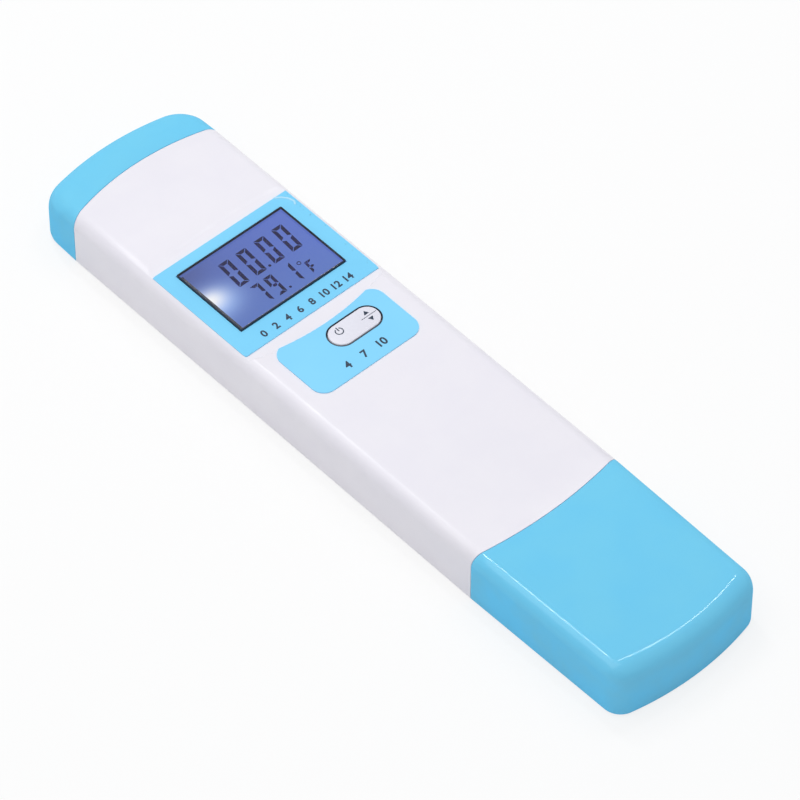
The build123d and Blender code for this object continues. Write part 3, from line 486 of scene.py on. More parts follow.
def bar_loop(inset, y):
    """Straight section of the pen at one place, drawn in by inset."""
    front = max(SIDE_ROUND - inset, MIN_ROUND)
    back = max(BACK_ROUND - inset, MIN_ROUND)
    column = []
    for a in np.radians(np.linspace(0, 90, 9)):
        column.append((HALF - inset - back * (1 - sin(a)), y, inset + back * (1 - cos(a))))
    for a in np.radians(np.linspace(0, 90, 13)):
        column.append((HALF - inset - front * (1 - cos(a)), y, THICK - inset - front * (1 - sin(a))))
    column = np.array(column)
    return np.vstack([column, column[::-1] * [-1, 1, 1]])


def make_battery_cap():
    """Battery cap with the tongue, its root and the seal's groove."""
    cap = piece("battery_cap_moulding", *cap_mesh(END))
    root_start = Y_TOP + TOP_SEAM_BOW + ROOT_START
    root_end = Y_TOP + TOP_SEAM_BOW + ROOT_END
    low = SEAL_Y - SEAL_WIDTH / 2
    high = SEAL_Y + SEAL_WIDTH / 2
    deep = TONGUE_INSET + SEAL_DEPTH
    profile = [(TONGUE_INSIDE, TONGUE_END), (TONGUE_INSET + TONGUE_CHAMFER, TONGUE_END),
               (TONGUE_INSET, TONGUE_END + TONGUE_CHAMFER), (TONGUE_INSET, low), (deep, low), (deep, high),
               (TONGUE_INSET, high), (TONGUE_INSET, Y_TOP + TONGUE_REACH),
               (WALL - ROOT_BITE, root_start), (WALL - ROOT_BITE, root_end), (TONGUE_INSIDE, root_end)]
    tongue = skin([bar_loop(inset, y) for inset, y in profile], around=True)
    return combine(cap, tongue, "UNION")


def make_key():
    """Rocker key: cap with a rounded edge, retaining lip, feet and ridge."""
    profile = [(KEY_LIP, KEY_LIP_LOW), (KEY_LIP, KEY_LIP_TOP), (0.0, KEY_LIP_TOP)]
    for a in np.radians(np.linspace(0, 90, 6)):
        profile.append((-KEY_ROUND * (1 - cos(a)), KEY_TOP - KEY_ROUND * (1 - sin(a))))
    parts = [skin([lifted(stadium(offset), z) for offset, z in profile])]
    for side in (-1, 1):
        x = KEY_X + side * FOOT_REACH
        parts.append(disc(x, KEY_Y, FOOT_RADIUS, FOOT_LOW, KEY_LIP_LOW + FOOT_BITE))
    angles = np.linspace(0, 2 * pi, KEY_STEPS, endpoint=False)
    ridge_x = KEY_X + PIVOT_RADIUS * np.cos(angles)
    ridge_z = PIVOT_Z + PIVOT_RADIUS * np.sin(angles)
    ends = [np.full(KEY_STEPS, KEY_Y + side * PIVOT_LENGTH / 2) for side in (-1, 1)]
    parts.append(skin([np.column_stack([ridge_x, y, ridge_z]) for y in ends]))
    return piece("rocker_key_cap", *merge(*parts))


def slab(points, faces, thickness):
    """Sheet with thickness: its copy below is the back, and its open edges are walled."""
    points = np.asarray(points, float)
    count = len(points)
    edges = dict.fromkeys((a, b) for f in faces for a, b in zip(f, list(f[1:]) + [f[0]]))
    border = [(a, b) for a, b in edges if (b, a) not in edges]
    below = points - [0, 0, thickness]
    flipped = [[count + i for i in f][::-1] for f in faces]
    walls = [(b, a, count + a, count + b) for a, b in border]
    return np.vstack([points, below]), list(faces) + flipped + walls


def crease_height(x, y):
    """Lifted crease in the display label's upper corner: a ridge along a short hooked line."""
    nearest = 1e9
    for (ax, ay), (bx, by) in zip(CREASE, CREASE[1:]):
        t = ((x - ax) * (bx - ax) + (y - ay) * (by - ay)) / ((bx - ax) ** 2 + (by - ay) ** 2)
        t = min(max(t, 0), 1)
        nearest = min(nearest, (x - ax - t * (bx - ax)) ** 2 + (y - ay - t * (by - ay)) ** 2)
    return CREASE_HEIGHT * np.exp(-nearest / (2 * CREASE_SPREAD ** 2))


def make_display_label():
    """Blue film with the window's cut-out and a lifted crease in one corner."""
    x0, x1, y0, y1 = lens_area(LENS_GAP)
    xs = np.concatenate([np.linspace(LABEL_MIN[0], x0, 9), np.linspace(x0, x1, 31),
                         np.linspace(x1, LABEL_MAX[0], 33)])
    ys = np.concatenate([np.linspace(LABEL_MIN[1], y0, 7), np.linspace(y0, CREASE_FROM, 17),
                         np.linspace(CREASE_FROM, y1, 20), np.linspace(y1, LABEL_MAX[1], 24)])
    xs = np.unique(xs.round(6))
    ys = np.unique(ys.round(6))
    points = np.array([(x, y, LABEL_TOP + crease_height(x, y)) for y in ys for x in xs])
    size = len(xs)
    faces = []
    for j in range(len(ys) - 1):
        for i in range(size - 1):
            mid_x = (xs[i] + xs[i + 1]) / 2
            mid_y = (ys[j] + ys[j + 1]) / 2
            if x0 < mid_x < x1 and y0 < mid_y < y1:
                continue
            faces.append([j * size + i, j * size + i + 1, (j + 1) * size + i + 1, (j + 1) * size + i])
    used = sorted({i for f in faces for i in f})
    place = {old: new for new, old in enumerate(used)}
    points = points[used]
    for side_x in (xs[0], xs[-1]):
        for side_y in (ys[0], ys[-1]):
            corner = np.where((points[:, 0] == side_x) & (points[:, 1] == side_y))[0][0]
            points[corner, :2] -= LABEL_PULL * np.sign([side_x, side_y - y0])
    faces = [[place[i] for i in f] for f in faces]
    return piece("display_label", *slab(points, faces, LABEL_TOP - FLOOR_Z))


# Prints

DIGIT_SEGMENTS = {"0": "abcdef", "1": "bc", "7": "abc", "9": "abcdfg", "F": "aefg"}

# The marks lie under the lens, so the photograph shows them this much to the lower left of their place
SEEN_SHIFT = np.array([0.596, 0.657])
LARGE_PLACES = ((-6.75, 38.35), (-2.0, 38.35), (3.0, 38.35), (7.9, 38.35))
SMALL_MARKS = (("7", -5.75, 31.1), ("9", -2.2, 31.1), ("1", 2.6, 31.1))
UNIT_PLACE = (7.3, 31.1)
# Width, height, stroke and gap of the segments
LARGE_FORM = (2.8, 7.6, 0.85, 0.11)
SMALL_FORM = (2.25, 5.8, 0.74, 0.09)
UNIT_FORM = (1.8, 3.5, 0.6, 0.06)
# Points and degree ring: x, y, radius, stroke
DOTS = ((1.86, 38.75, 0.17, 0.34), (1.14, 31.5, 0.15, 0.3), (6.75, 35.2, 0.42, 0.2))
DIGIT_LEAN = 4

POWER_MARK = (0.24, 15.33)
POWER_RING = (0.86, 0.24, 118, 422)         # radius, stroke, start and end in degrees
POWER_STEM = (-0.12, 0.02, 0.12, 1.17)      # from the mark's middle
ARROW_MARKS = (7.55, 14.51)
ARROW_RULE = (-1.95, -0.06, 2.0, 0.06)
ARROW_HALF = 0.65
ARROWS = ((0.54, 1.59), (-0.56, -1.61))     # foot and point of each arrow
# painted shade: width of the dark ink that lines the wall of the key's opening, standing for the shade in
# the gap
GAP_SHADE_WIDTH = 0.05        # dark wall of the key's opening
LINE_WIDTH = 0.07            # printed line round it
SCALE_START = -11.3
SCALE_STEP = 1.64
SCALE_FOOT = 24.7
SCALE_HEIGHT = 1.75
POINTS = (("4", -4.4), ("7", 0.1), ("10", 4.7))
POINTS_FOOT = 6.6
POINTS_HEIGHT = 1.9
FIGURE_SHARE = 0.71          # height of a figure in its font's size
FIGURE_BOLDNESS = 0.042


def segment_outlines(mark, width, height, stroke, gap):
    """Outlines of a seven-segment mark in its own box, with mitred ends and small gaps."""
    mid = height / 2
    t = stroke
    near = gap * 0.6
    top = [(gap, height), (width - gap, height), (width - t - gap, height - t), (t + gap, height - t)]
    side = [(width, height - gap), (width, mid + near), (width - t, mid + t / 2 + gap),
            (width - t, height - t - gap)]
    shapes = {
        "a": top,
        "b": side,
        "c": [(x, height - y) for x, y in side],
        "d": [(x, height - y) for x, y in top],
        "e": [(width - x, height - y) for x, y in side],
        "f": [(width - x, y) for x, y in side],
        "g": [(gap + t * 0.6, mid), (gap + t, mid + t / 2), (width - gap - t, mid + t / 2),
              (width - gap - t * 0.6, mid), (width - gap - t, mid - t / 2), (gap + t, mid - t / 2)],
    }
    return [shapes[s] for s in DIGIT_SEGMENTS[mark]]


def placed(outlines, x, y, lean):
    """Outlines moved to (x, y) and leaned over."""
    return [[(x + px + py * tan(radians(lean)), y + py) for px, py in o] for o in outlines]


def ring_sector(x, y, radius, stroke, start, end):
    """Outline of a bent stroke."""
    angles = np.radians(np.linspace(start, end, STROKE_STEPS))
    outline = []
    for reach, turns in ((radius + stroke / 2, angles), (radius - stroke / 2, angles[::-1])):
        outline += [(x + reach * cos(a), y + reach * sin(a)) for a in turns]
    return outline


def bar(x, y, sides):
    """Outline of a rectangle whose sides (left, low, right, high) are measured from (x, y)."""
    x0, y0, x1, y1 = sides
    return [(x + x0, y + y0), (x + x1, y + y0), (x + x1, y + y1), (x + x0, y + y1)]


def printed(name, outlines, z):
    """Flat print of several outlines on height z."""
    return piece(name, *merge(*[prism(o, z, z + PRINT) for o in outlines]))


def ring_print(name, inner, outer, low, high):
    """Closed band between two plan outlines of equal length."""
    loops = [lifted(o, z) for o, z in ((inner, low), (outer, low), (outer, high), (inner, high))]
    return piece(name, *skin(loops, around=True))


def number_print(name, words, z):
    """Plain numbers as flat meshes: each entry is text, middle x, foot y and height of the figures."""
    work = bmesh.new()
    for text, x, y, height in words:
        curve = bpy.data.curves.new(name, "FONT")
        curve.body = text
        curve.align_x = "CENTER"
        curve.size = height * MM / FIGURE_SHARE
        curve.offset = height * MM * FIGURE_BOLDNESS
        curve.extrude = PRINT * MM / 2
        source = bpy.data.objects.new(name, curve)
        bpy.context.scene.collection.objects.link(source)
        graph = bpy.context.evaluated_depsgraph_get()
        mesh = bpy.data.meshes.new_from_object(source.evaluated_get(graph))
        bpy.data.objects.remove(source)
        mesh.transform(Matrix.Translation((x * MM, y * MM, (z + PRINT / 2) * MM)))
        work.from_mesh(mesh)
    return object_from(name, work)


def make_digits():
    """Dark segments of the display: four large figures and a small row with its unit."""
    marks = [("0", *place, *LARGE_FORM) for place in LARGE_PLACES]
    marks += [(*small, *SMALL_FORM) for small in SMALL_MARKS]
    marks.append(("F", *UNIT_PLACE, *UNIT_FORM))
    shapes = []
    for mark, x, y, *form in marks:
        shapes += placed(segment_outlines(mark, *form), x + SEEN_SHIFT[0], y + SEEN_SHIFT[1], DIGIT_LEAN)
    for x, y, radius, stroke in DOTS:
        end = 355 if radius > stroke else 350
        shapes.append(ring_sector(x + SEEN_SHIFT[0], y + SEEN_SHIFT[1], radius, stroke, 0, end))
    return printed("display_figures", shapes, GLASS_TOP)


def make_key_marks():
    """Power mark and an up and a down arrow parted by a rule, on the key."""
    x, y = POWER_MARK
    shapes = [ring_sector(x, y, *POWER_RING), bar(x, y, POWER_STEM)]
    x, y = ARROW_MARKS
    shapes.append(bar(x, y, ARROW_RULE))
    for foot, point in ARROWS:
        shapes.append([(x - ARROW_HALF, y + foot), (x + ARROW_HALF, y + foot), (x, y + point)])
    return printed("key_marks", shapes, KEY_TOP)


# Materials

def add(tree, kind, inputs=None, **settings):
    """New node; inputs maps a socket's name or number to a value or to another node's output."""
    node = tree.nodes.new("ShaderNode" + kind)
    for key, value in settings.items():
        setattr(node, key, value)
    for key, value in (inputs or {}).items():
        socket = node.inputs[key]
        if isinstance(value, bpy.types.NodeSocket):
            tree.links.new(value, socket)
        else:
            socket.default_value = value
    return node


def maths(tree, operation, *values):
    """Result of an operation on one or two numbers."""
    return add(tree, "Math", dict(enumerate(values)), operation=operation).outputs[0]


def ranged(tree, value, low, high, to_low=0.0, to_high=1.0):
    """Number carried from one range to another and held at its ends."""
    limits = {"From Min": low, "From Max": high, "To Min": to_low, "To Max": to_high}
    return add(tree, "MapRange", {"Value": value, **limits}).outputs["Result"]


def between(tree, value, low, high):
    """Range of 0 to 1 carried to low and high."""
    return ranged(tree, value, 0.0, 1.0, low, high)


def blend(tree, share, first, second):
    """Colour between two others."""
    return add(tree, "Mix", {0: share, 6: first, 7: second}, data_type="RGBA").outputs[2]


def mixed(tree, share, first, second):
    """Surface between two others."""
    return add(tree, "MixShader", {0: share, 1: first, 2: second}).outputs[0]


def relief(tree, height, depth):
    """Normal bent by a pattern of heights, this deep in metres."""
    return add(tree, "Bump", {"Height": height, "Strength": 1.0, "Distance": depth}).outputs["Normal"]


def axes(tree, vector):
    """X, Y and Z of a vector, by name."""
    return add(tree, "SeparateXYZ", {0: vector}).outputs


def principled(tree, colour, rough, normal, **sockets):
    """Principled surface from its colour, roughness and normal."""
    inputs = {"Base Color": colour, "Roughness": rough, "Normal": normal}
    return add(tree, "BsdfPrincipled", {**inputs, **sockets}).outputs[0]


def glowing(tree, colour, strength):
    """Surface that gives off light."""
    return add(tree, "Emission", {"Color": colour, "Strength": strength}).outputs[0]


def variation_group():
    """Node group: from a place on the object to slow mottling, fine grain and sparse specks."""
    tree = bpy.data.node_groups.new("surface_variation", "ShaderNodeTree")
    tree.interface.new_socket("Place", in_out="INPUT", socket_type="NodeSocketVector")
    for name in ("Mottle scale", "Grain scale"):
        tree.interface.new_socket(name, in_out="INPUT", socket_type="NodeSocketFloat")
    for name in ("Mottle", "Grain", "Specks"):
        tree.interface.new_socket(name, in_out="OUTPUT", socket_type="NodeSocketFloat")
    source = tree.nodes.new("NodeGroupInput").outputs
    target = tree.nodes.new("NodeGroupOutput").inputs
    mottle = add(tree, "TexNoise", {"Vector": source[0], "Scale": source[1], "Detail": 3.0})
    grain = add(tree, "TexNoise", {"Vector": source[0], "Scale": source[2], "Detail": 2.0})
    cells = add(tree, "TexVoronoi", {"Vector": source[0], "Scale": 130.0, "Randomness": 1.0}).outputs
    picked = add(tree, "SeparateColor", {"Color": cells["Color"]})
    rare = maths(tree, "GREATER_THAN", picked.outputs[0], 0.86)
    near = ranged(tree, cells["Distance"], 0.012, 0.028, 1.0, 0.0)
    tree.links.new(mottle.outputs["Fac"], target["Mottle"])
    tree.links.new(grain.outputs["Fac"], target["Grain"])
    tree.links.new(maths(tree, "MULTIPLY", rare, near), target["Specks"])
    return tree


VARIATION = variation_group()


def start_material(name, mottle_scale=90.0, grain_scale=4500.0):
    """Empty material: itself, its tree, the object's coordinates and the outputs of the variation group."""
    material = bpy.data.materials.new(name)
    material.use_nodes = True
    tree = material.node_tree
    tree.nodes.clear()
    place = add(tree, "TexCoord").outputs["Object"]
    group = tree.nodes.new("ShaderNodeGroup")
    group.node_tree = VARIATION
    tree.links.new(place, group.inputs["Place"])
    group.inputs["Mottle scale"].default_value = mottle_scale
    group.inputs["Grain scale"].default_value = grain_scale
    return material, tree, place, group.outputs


def finish_material(material, shader):
    """Connects a shader to the material's output."""
    output = add(material.node_tree, "OutputMaterial")
    material.node_tree.links.new(shader, output.inputs["Surface"])
    return material


GRAIN_DEPTH = 6e-6           # metres


def shaded(tree, group, base, deep, rough, bump=GRAIN_DEPTH, speck=None, **sockets):
    """Surface whose colour goes from base to deep with the mottling, with grain in its relief."""
    colour = blend(tree, ranged(tree, group["Mottle"], 0.35, 0.65), base, deep)
    if speck:
        colour = blend(tree, maths(tree, "MULTIPLY", group["Specks"], 0.7), colour, speck)
    level = ranged(tree, group["Mottle"], 0.3, 0.7, rough - 0.05, rough + 0.05)
    return principled(tree, colour, level, relief(tree, group["Grain"], bump), **sockets)


def plastic(name, base, deep, rough, bump=GRAIN_DEPTH, mottle=90.0, **sockets):
    """Moulded plastic, rubber or resin from two screen colours, with the shared variation."""
    material, tree, _, group = start_material(name, mottle)
    shader = shaded(tree, group, srgb(*base), srgb(*deep), rough, bump, **sockets)
    return finish_material(material, shader)


NO_GLOSS = {"Specular IOR Level": 0.0}


def blue_material():
    """Blue moulding with painted shade: its sides are painted a deeper blue than its face by which way they
    face, with a thin, even gloss that shows the lamps as crisp lines.
    """
    material, tree, _, group = start_material("blue_shell")
    upright = axes(tree, add(tree, "TexCoord").outputs["Normal"])["Z"]
    # painted shade: the colour goes from the sides' deeper blue to the face's blue by the way the surface
    # faces
    base = blend(tree, ranged(tree, upright, 0.0, 0.9), srgb(106, 208, 252), srgb(117, 206, 240))
    deep = srgb(113, 204, 241)
    body = shaded(tree, group, base, deep, 0.5, bump=3e-6, speck=srgb(40, 90, 130), **NO_GLOSS)
    level = between(tree, group["Mottle"], 0.07, 0.11)
    gloss = add(tree, "BsdfGlossy", {"Color": (1, 1, 1, 1), "Roughness": level})
    return finish_material(material, mixed(tree, 0.025, body, gloss.outputs[0]))


WORN_FROM = 17.2             # flecks begin here, towards the label's right edge
WORN_FULL = 18.2


def label_material(name, base, deep, creased=False):
    """Printed film: satin, with dark flecks towards its right edge; a lifted crease is paler."""
    material, tree, place, group = start_material(name, 60.0, 3000.0)
    parts = axes(tree, place)
    edge = ranged(tree, parts["X"], WORN_FROM * MM, WORN_FULL * MM)
    noise = add(tree, "TexNoise", {"Vector": place, "Scale": 900.0, "Detail": 3.0})
    flecks = maths(tree, "MULTIPLY", edge, ranged(tree, noise.outputs["Fac"], 0.63, 0.68))
    colour = blend(tree, ranged(tree, group["Mottle"], 0.35, 0.65), base, deep)
    colour = blend(tree, maths(tree, "MULTIPLY", flecks, 0.8), colour, srgb(52, 84, 110))
    if creased:
        low, high = [(LABEL_TOP + rise) * MM for rise in CREASE_PALE]
        height = ranged(tree, parts["Z"], low, high, 0.0, 0.6)
        colour = blend(tree, height, colour, srgb(206, 240, 255))
    normal = relief(tree, group["Grain"], 5e-6)
    level = between(tree, group["Mottle"], 0.36, 0.46)
    film = principled(tree, colour, level, normal, **{"Specular IOR Level": 0.4})
    return finish_material(material, film)


LENS_RIM = 0.2               # width of the black line inside the lens's edge


def clear_material(name, tint, rough, ior, black_rim=False):
    """Clear plastic or glass that lets lamp light through; a lens may have its rim and sides blackened."""
    material, tree, place, group = start_material(name, 200.0, 2500.0)
    inputs = {"Base Color": tint, "Roughness": between(tree, group["Mottle"], rough, rough + 0.02),
              "Transmission Weight": 1.0, "IOR": ior, "Specular IOR Level": 0.2}
    clear = add(tree, "BsdfPrincipled", inputs).outputs[0]
    through = add(tree, "BsdfTransparent", {"Color": tint}).outputs[0]
    surface = mixed(tree, add(tree, "LightPath").outputs["Is Shadow Ray"], clear, through)
    if black_rim:
        upright = axes(tree, add(tree, "NewGeometry").outputs["True Normal"])["Z"]
        side = maths(tree, "LESS_THAN", maths(tree, "ABSOLUTE", upright), 0.85)
        inside = inside_plan(tree, axes(tree, place), lens_area(-LENS_RIM))
        black = maths(tree, "MAXIMUM", side, maths(tree, "LESS_THAN", inside, 0.5))
        paint = shaded(tree, group, srgb(34, 44, 58), srgb(44, 54, 68), 0.5)
        surface = mixed(tree, black, surface, paint)
    return finish_material(material, surface)


def spot(tree, parts, x, y, wide, high):
    """Mask that is 1 at (x, y) in millimetres and falls to 0 over an ellipse."""
    squares = []
    for axis, middle, reach in (("X", x, wide), ("Y", y, high)):
        away = maths(tree, "ADD", parts[axis], -middle * MM)
        squares.append(maths(tree, "POWER", maths(tree, "MULTIPLY", away, 1 / (reach * MM)), 2.0))
    total = maths(tree, "ADD", *squares)
    return maths(tree, "EXPONENT", maths(tree, "MULTIPLY", total, -1.0))


def inside_plan(tree, parts, area):
    """Mask of a rectangle (x0, x1, y0, y1) in plan, in millimetres."""
    mask = 1.0
    for axis, limit, operation in (("X", area[0], "GREATER_THAN"), ("X", area[1], "LESS_THAN"),
                                   ("Y", area[2], "GREATER_THAN"), ("Y", area[3], "LESS_THAN")):
        mask = maths(tree, "MULTIPLY", mask, maths(tree, operation, parts[axis], limit * MM))
    return mask


LIT = (-13.0, 15.2, 30.3, 51.4)
PALE_RISE = (30, 44)         # the display is paler at its lower edge, up to here
# Soft spots at the display's left end: place and reach across and along the pen; the first is a painted
# shadow, the other two are the side lamp's glow
PAINTED_SHADOW_SPOT = (-13.0, 49.5, 6.0, 4.5)
GLOW_SPOT = (-12.9, 38.8, 5.4, 4.0)
LAMP_SPOT = (-13.2, 40.1, 3.1, 2.3)
LCD_LEFT = srgb(88, 108, 178)
LCD_RIGHT = srgb(93, 117, 204)


def lit_blue(tree, parts):
    """Blue of the lit display, from its left to its right end."""
    return blend(tree, ranged(tree, parts["X"], LIT[0] * MM, LIT[1] * MM), LCD_LEFT, LCD_RIGHT)


# The painted glow of the display's light reaches this far out from the lens, and lies this far below the
# recess and past the wall
GLOW_OUT = 0.3
GLOW_BELOW = 0.02
GLOW_PAST = 0.1


def sleeve_material():
    """White moulding; the walls of its window opening carry a painted glow, the display's light painted on
    them as emission.
    """
    material, tree, place, group = start_material("white_shell")
    white = shaded(tree, group, srgb(238, 235, 242), srgb(235, 232, 240), 0.34, speck=srgb(150, 150, 158))
    parts = axes(tree, place)
    below = maths(tree, "LESS_THAN", parts["Z"], (FLOOR_Z - GLOW_BELOW) * MM)
    above = maths(tree, "GREATER_THAN", parts["Z"], (THICK - WALL - GLOW_PAST) * MM)
    mask = maths(tree, "MULTIPLY", inside_plan(tree, parts, lens_area(GLOW_OUT)), below)
    mask = maths(tree, "MULTIPLY", mask, above)
    # painted light: emission in the display's blue on the walls of the window opening
    return finish_material(material, mixed(tree, mask, white, glowing(tree, lit_blue(tree, parts), 0.95)))


def display_material():
    """Lit liquid crystal: blue, brightest at the side lamp, with a painted shadow near its upper left
    corner, in a brown seal whose left end is painted black as painted shade.
    """
    material, tree, place, group = start_material("lcd_lit", 250.0, 3000.0)
    parts = axes(tree, place)
    low = ranged(tree, parts["Y"], PALE_RISE[0] * MM, PALE_RISE[1] * MM, 0.75, 0.0)
    field = blend(tree, low, lit_blue(tree, parts), srgb(92, 122, 196))
    # painted shadow: the display is darkened in a soft spot near its upper left corner
    dark = maths(tree, "MULTIPLY", spot(tree, parts, *PAINTED_SHADOW_SPOT), 0.55)
    field = blend(tree, dark, field, srgb(74, 84, 140))
    field = blend(tree, spot(tree, parts, *GLOW_SPOT), field, srgb(164, 197, 255))
    field = blend(tree, spot(tree, parts, *LAMP_SPOT), field, (0.97, 0.98, 1.0, 1.0))
    lamp = glowing(tree, field, between(tree, group["Mottle"], 0.96, 1.0))
    brown = shaded(tree, group, srgb(120, 112, 112), srgb(92, 88, 92), 0.5)
    black = shaded(tree, group, srgb(26, 26, 40), srgb(34, 34, 50), 0.5)
    # painted shade: the seal's left end, in the shade of the window's edge, is painted black instead of
    # brown
    seal = mixed(tree, maths(tree, "LESS_THAN", parts["X"], LIT[0] * MM), brown, black)
    top = maths(tree, "GREATER_THAN", parts["Z"], (GLASS_TOP - 0.05) * MM)
    inside = maths(tree, "MULTIPLY", inside_plan(tree, parts, LIT), top)
    return finish_material(material, mixed(tree, inside, seal, lamp))


def board_material():
    """Green circuit board with lighter tracks under the lacquer."""
    material, tree, place, group = start_material("board_lacquer", 120.0, 3000.0)
    dark, light = (0, 0, 0, 1), (1, 1, 1, 1)
    bricks = add(tree, "TexBrick", {"Vector": place, "Scale": 260.0, "Mortar Size": 0.035,
                                    "Color1": dark, "Color2": dark, "Mortar": light})
    tracks = bricks.outputs["Color"]
    colour = blend(tree, tracks, srgb(24, 92, 58), srgb(58, 132, 84))
    level = between(tree, group["Mottle"], 0.22, 0.34)
    return finish_material(material, principled(tree, colour, level, relief(tree, tracks, 2e-5)))


def sponge_material():
    """Open-pored sponge: round pores dent the yellow foam and are painted darker inside as painted shade.
    """
    material, tree, place, _ = start_material("sponge_foam", 150.0, 2500.0)
    pores = add(tree, "TexVoronoi", {"Vector": place, "Scale": 1100.0})
    depth = ranged(tree, pores.outputs["Distance"], 0.1, 0.5)
    # painted shade: the foam is darker towards the middle of each pore
    colour = blend(tree, depth, srgb(186, 150, 74), srgb(240, 216, 138))
    return finish_material(material, principled(tree, colour, 0.9, relief(tree, depth, 2e-4)))


def metal(name, base, deep, rough, stretch=12.0):
    """Metal from two screen colours, with drawing marks along the pen."""
    material, tree, place, _ = start_material(name, 300.0, 3000.0)
    squeezed = add(tree, "Mapping", {"Vector": place, "Scale": (stretch, 1.0, stretch)})
    noise = add(tree, "TexNoise", {"Vector": squeezed.outputs[0], "Scale": 900.0, "Detail": 2.0})
    lines = noise.outputs["Fac"]
    level = between(tree, lines, rough - 0.06, rough + 0.08)
    colour = blend(tree, lines, srgb(*base), srgb(*deep))
    surface = principled(tree, colour, level, relief(tree, lines, 3e-6), Metallic=1.0)
    return finish_material(material, surface)


INK = plastic("dark_ink", (26, 44, 66), (36, 54, 78), 0.45, mottle=400.0)
DISPLAY_INK = plastic("display_ink", (12, 9, 58), (16, 12, 64), 0.6, mottle=400.0, **NO_GLOSS)

# Two screen colours, a roughness and, where it isn't the usual one, the depth of the grain
PLASTICS = {
    "key_white": ((231, 230, 240), (227, 226, 237), 0.3),
    "led_epoxy": ((244, 236, 176), (236, 224, 150), 0.3),
    "frame_white": ((226, 227, 226), (218, 219, 218), 0.45),
    "grey_plastic": ((168, 173, 179), (158, 163, 170), 0.42, 1.2e-5),
    "black_plastic": ((38, 39, 42), (48, 49, 53), 0.45, 1.4e-5),
    "capacitor_amber": ((196, 150, 84), (178, 132, 68), 0.4),
    "silicone": ((205, 210, 212), (196, 202, 205), 0.55, 1e-5),
    "carbon_rubber": ((30, 30, 31), (40, 40, 41), 0.8),
    "conductive_rubber": ((92, 94, 98), (78, 80, 84), 0.7),
    "seal_rubber": ((42, 44, 47), (52, 54, 57), 0.5, 1e-5),
    "porous_ceramic": ((236, 233, 224), (222, 218, 206), 0.85, 2e-5),
    "potting": ((34, 36, 40), (44, 46, 52), 0.35),
    "lead_jacket": ((46, 47, 50), (58, 59, 62), 0.5),
    "probe_jacket": ((176, 52, 44), (160, 44, 38), 0.5),
}

# The same, with the stretch of the drawing marks last
STEEL = ((196, 198, 202), (168, 171, 176))
METALS = {
    "radio_shield": (*STEEL, 0.3),
    "crystal_steel": (*STEEL, 0.25),
    "screw_steel": (*STEEL, 0.28),
    "probe_steel": (*STEEL, 0.22),
    "cell_steel": ((206, 207, 208), (186, 188, 190), 0.24, 4.0),
    "spring_steel": ((208, 204, 190), (188, 184, 170), 0.26),
    "silver": ((222, 221, 216), (196, 195, 190), 0.25),
}

# One material for each slot of the record
MATERIALS = {
    "white_shell": sleeve_material(),
    "blue_shell": blue_material(),
    "label_film": label_material("label_film", srgb(124, 211, 249), srgb(120, 207, 247), creased=True),
    "key_label_film": label_material("key_label_film", srgb(133, 214, 252), srgb(129, 211, 250)),
    "clear_window": clear_material("clear_window", (1, 1, 1, 1), 0.01, 1.49, black_rim=True),
    "lcd": display_material(),
    "light_guide": clear_material("light_guide", srgb(228, 238, 250), 0.12, 1.49),
    "board_green": board_material(),
    "sponge": sponge_material(),
    "electrode_body": clear_material("electrode_body", srgb(196, 226, 244), 0.06, 1.5),
    "bulb_glass": clear_material("bulb_glass", srgb(240, 248, 250), 0.005, 1.47),
}
MATERIALS.update({name: plastic(name, *row) for name, row in PLASTICS.items()})
MATERIALS.update({name: metal(name, *row) for name, row in METALS.items()})


def dress(obj, material):
    """One material over the whole mesh."""
    obj.data.materials.clear()
    obj.data.materials.append(material)


def dress_nodes():
    """Material of each CAD node, by its slot in the record; round faces are shaded smooth."""
    for row in frame["record"]["subparts"]:
        obj = frame["nodes"][row["node"]]
        dress(obj, MATERIALS[row["material_slot"]])
        obj.data.shade_smooth()
        weld = obj.modifiers.new("weld", "WELD")
        weld.merge_threshold = 1e-6
        split = obj.modifiers.new("edges", "EDGE_SPLIT")
        split.split_angle = radians(NODE_SHARP_ANGLE)


def fit(obj, body, slot, *nodes, ink=None):
    """Puts a new piece on its body, in its slot and in place of its CAD nodes; a print has an ink."""
    dress(obj, ink or MATERIALS[slot])
    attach(obj, body)
    if nodes:
        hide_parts(*nodes)


def make_shells():
    """The smooth outer pieces."""
    fit(make_sleeve(), "housing", "white_shell", "body_sleeve")
    cap = piece("protective_cap_moulding", *cap_mesh(TIP))
    fit(cap, "protective_cap", "blue_shell", "protective_cap")
    fit(make_battery_cap(), "battery_cap", "blue_shell", "battery_cap")
    fit(make_key(), "key", "key_white", "rocker_key")
    fit(make_display_label(), "housing", "label_film", "display_overlay")


def make_prints():
    """Figures of the display, marks of the key, painted shade on the wall of its opening, the line round it
    and the two rows of numbers.
    """
    top = KEY_LABEL_TOP
    fit(make_digits(), "housing", "lcd", ink=DISPLAY_INK)
    fit(make_key_marks(), "key", "key_white", ink=INK)
    edge = stadium(KEY_GAP)
    # painted shade: dark ink lining the wall of the key's opening, where the gap lies in shade
    surround = ring_print("key_gap_shade", stadium(KEY_GAP - GAP_SHADE_WIDTH), edge, THICK - WALL, top)
    fit(surround, "housing", "key_label_film", ink=INK)
    line = ring_print("key_line", edge, stadium(KEY_GAP + LINE_WIDTH), top, top + PRINT)
    fit(line, "housing", "key_label_film", ink=INK)
    scale = [(str(value), SCALE_START + SCALE_STEP * value, SCALE_FOOT, SCALE_HEIGHT)
             for value in range(0, 15, 2)]
    fit(number_print("display_scale", scale, LABEL_TOP), "housing", "label_film", ink=INK)
    points = [(text, x, POINTS_FOOT, POINTS_HEIGHT) for text, x in POINTS]
    fit(number_print("key_scale", points, top), "housing", "key_label_film", ink=INK)


# Stage, light and camera

FLOOR_REACH = 4000.0
FLOOR_SHARE = 0.8            # how much of the floor is plain white to the eye, the rest shows shadow


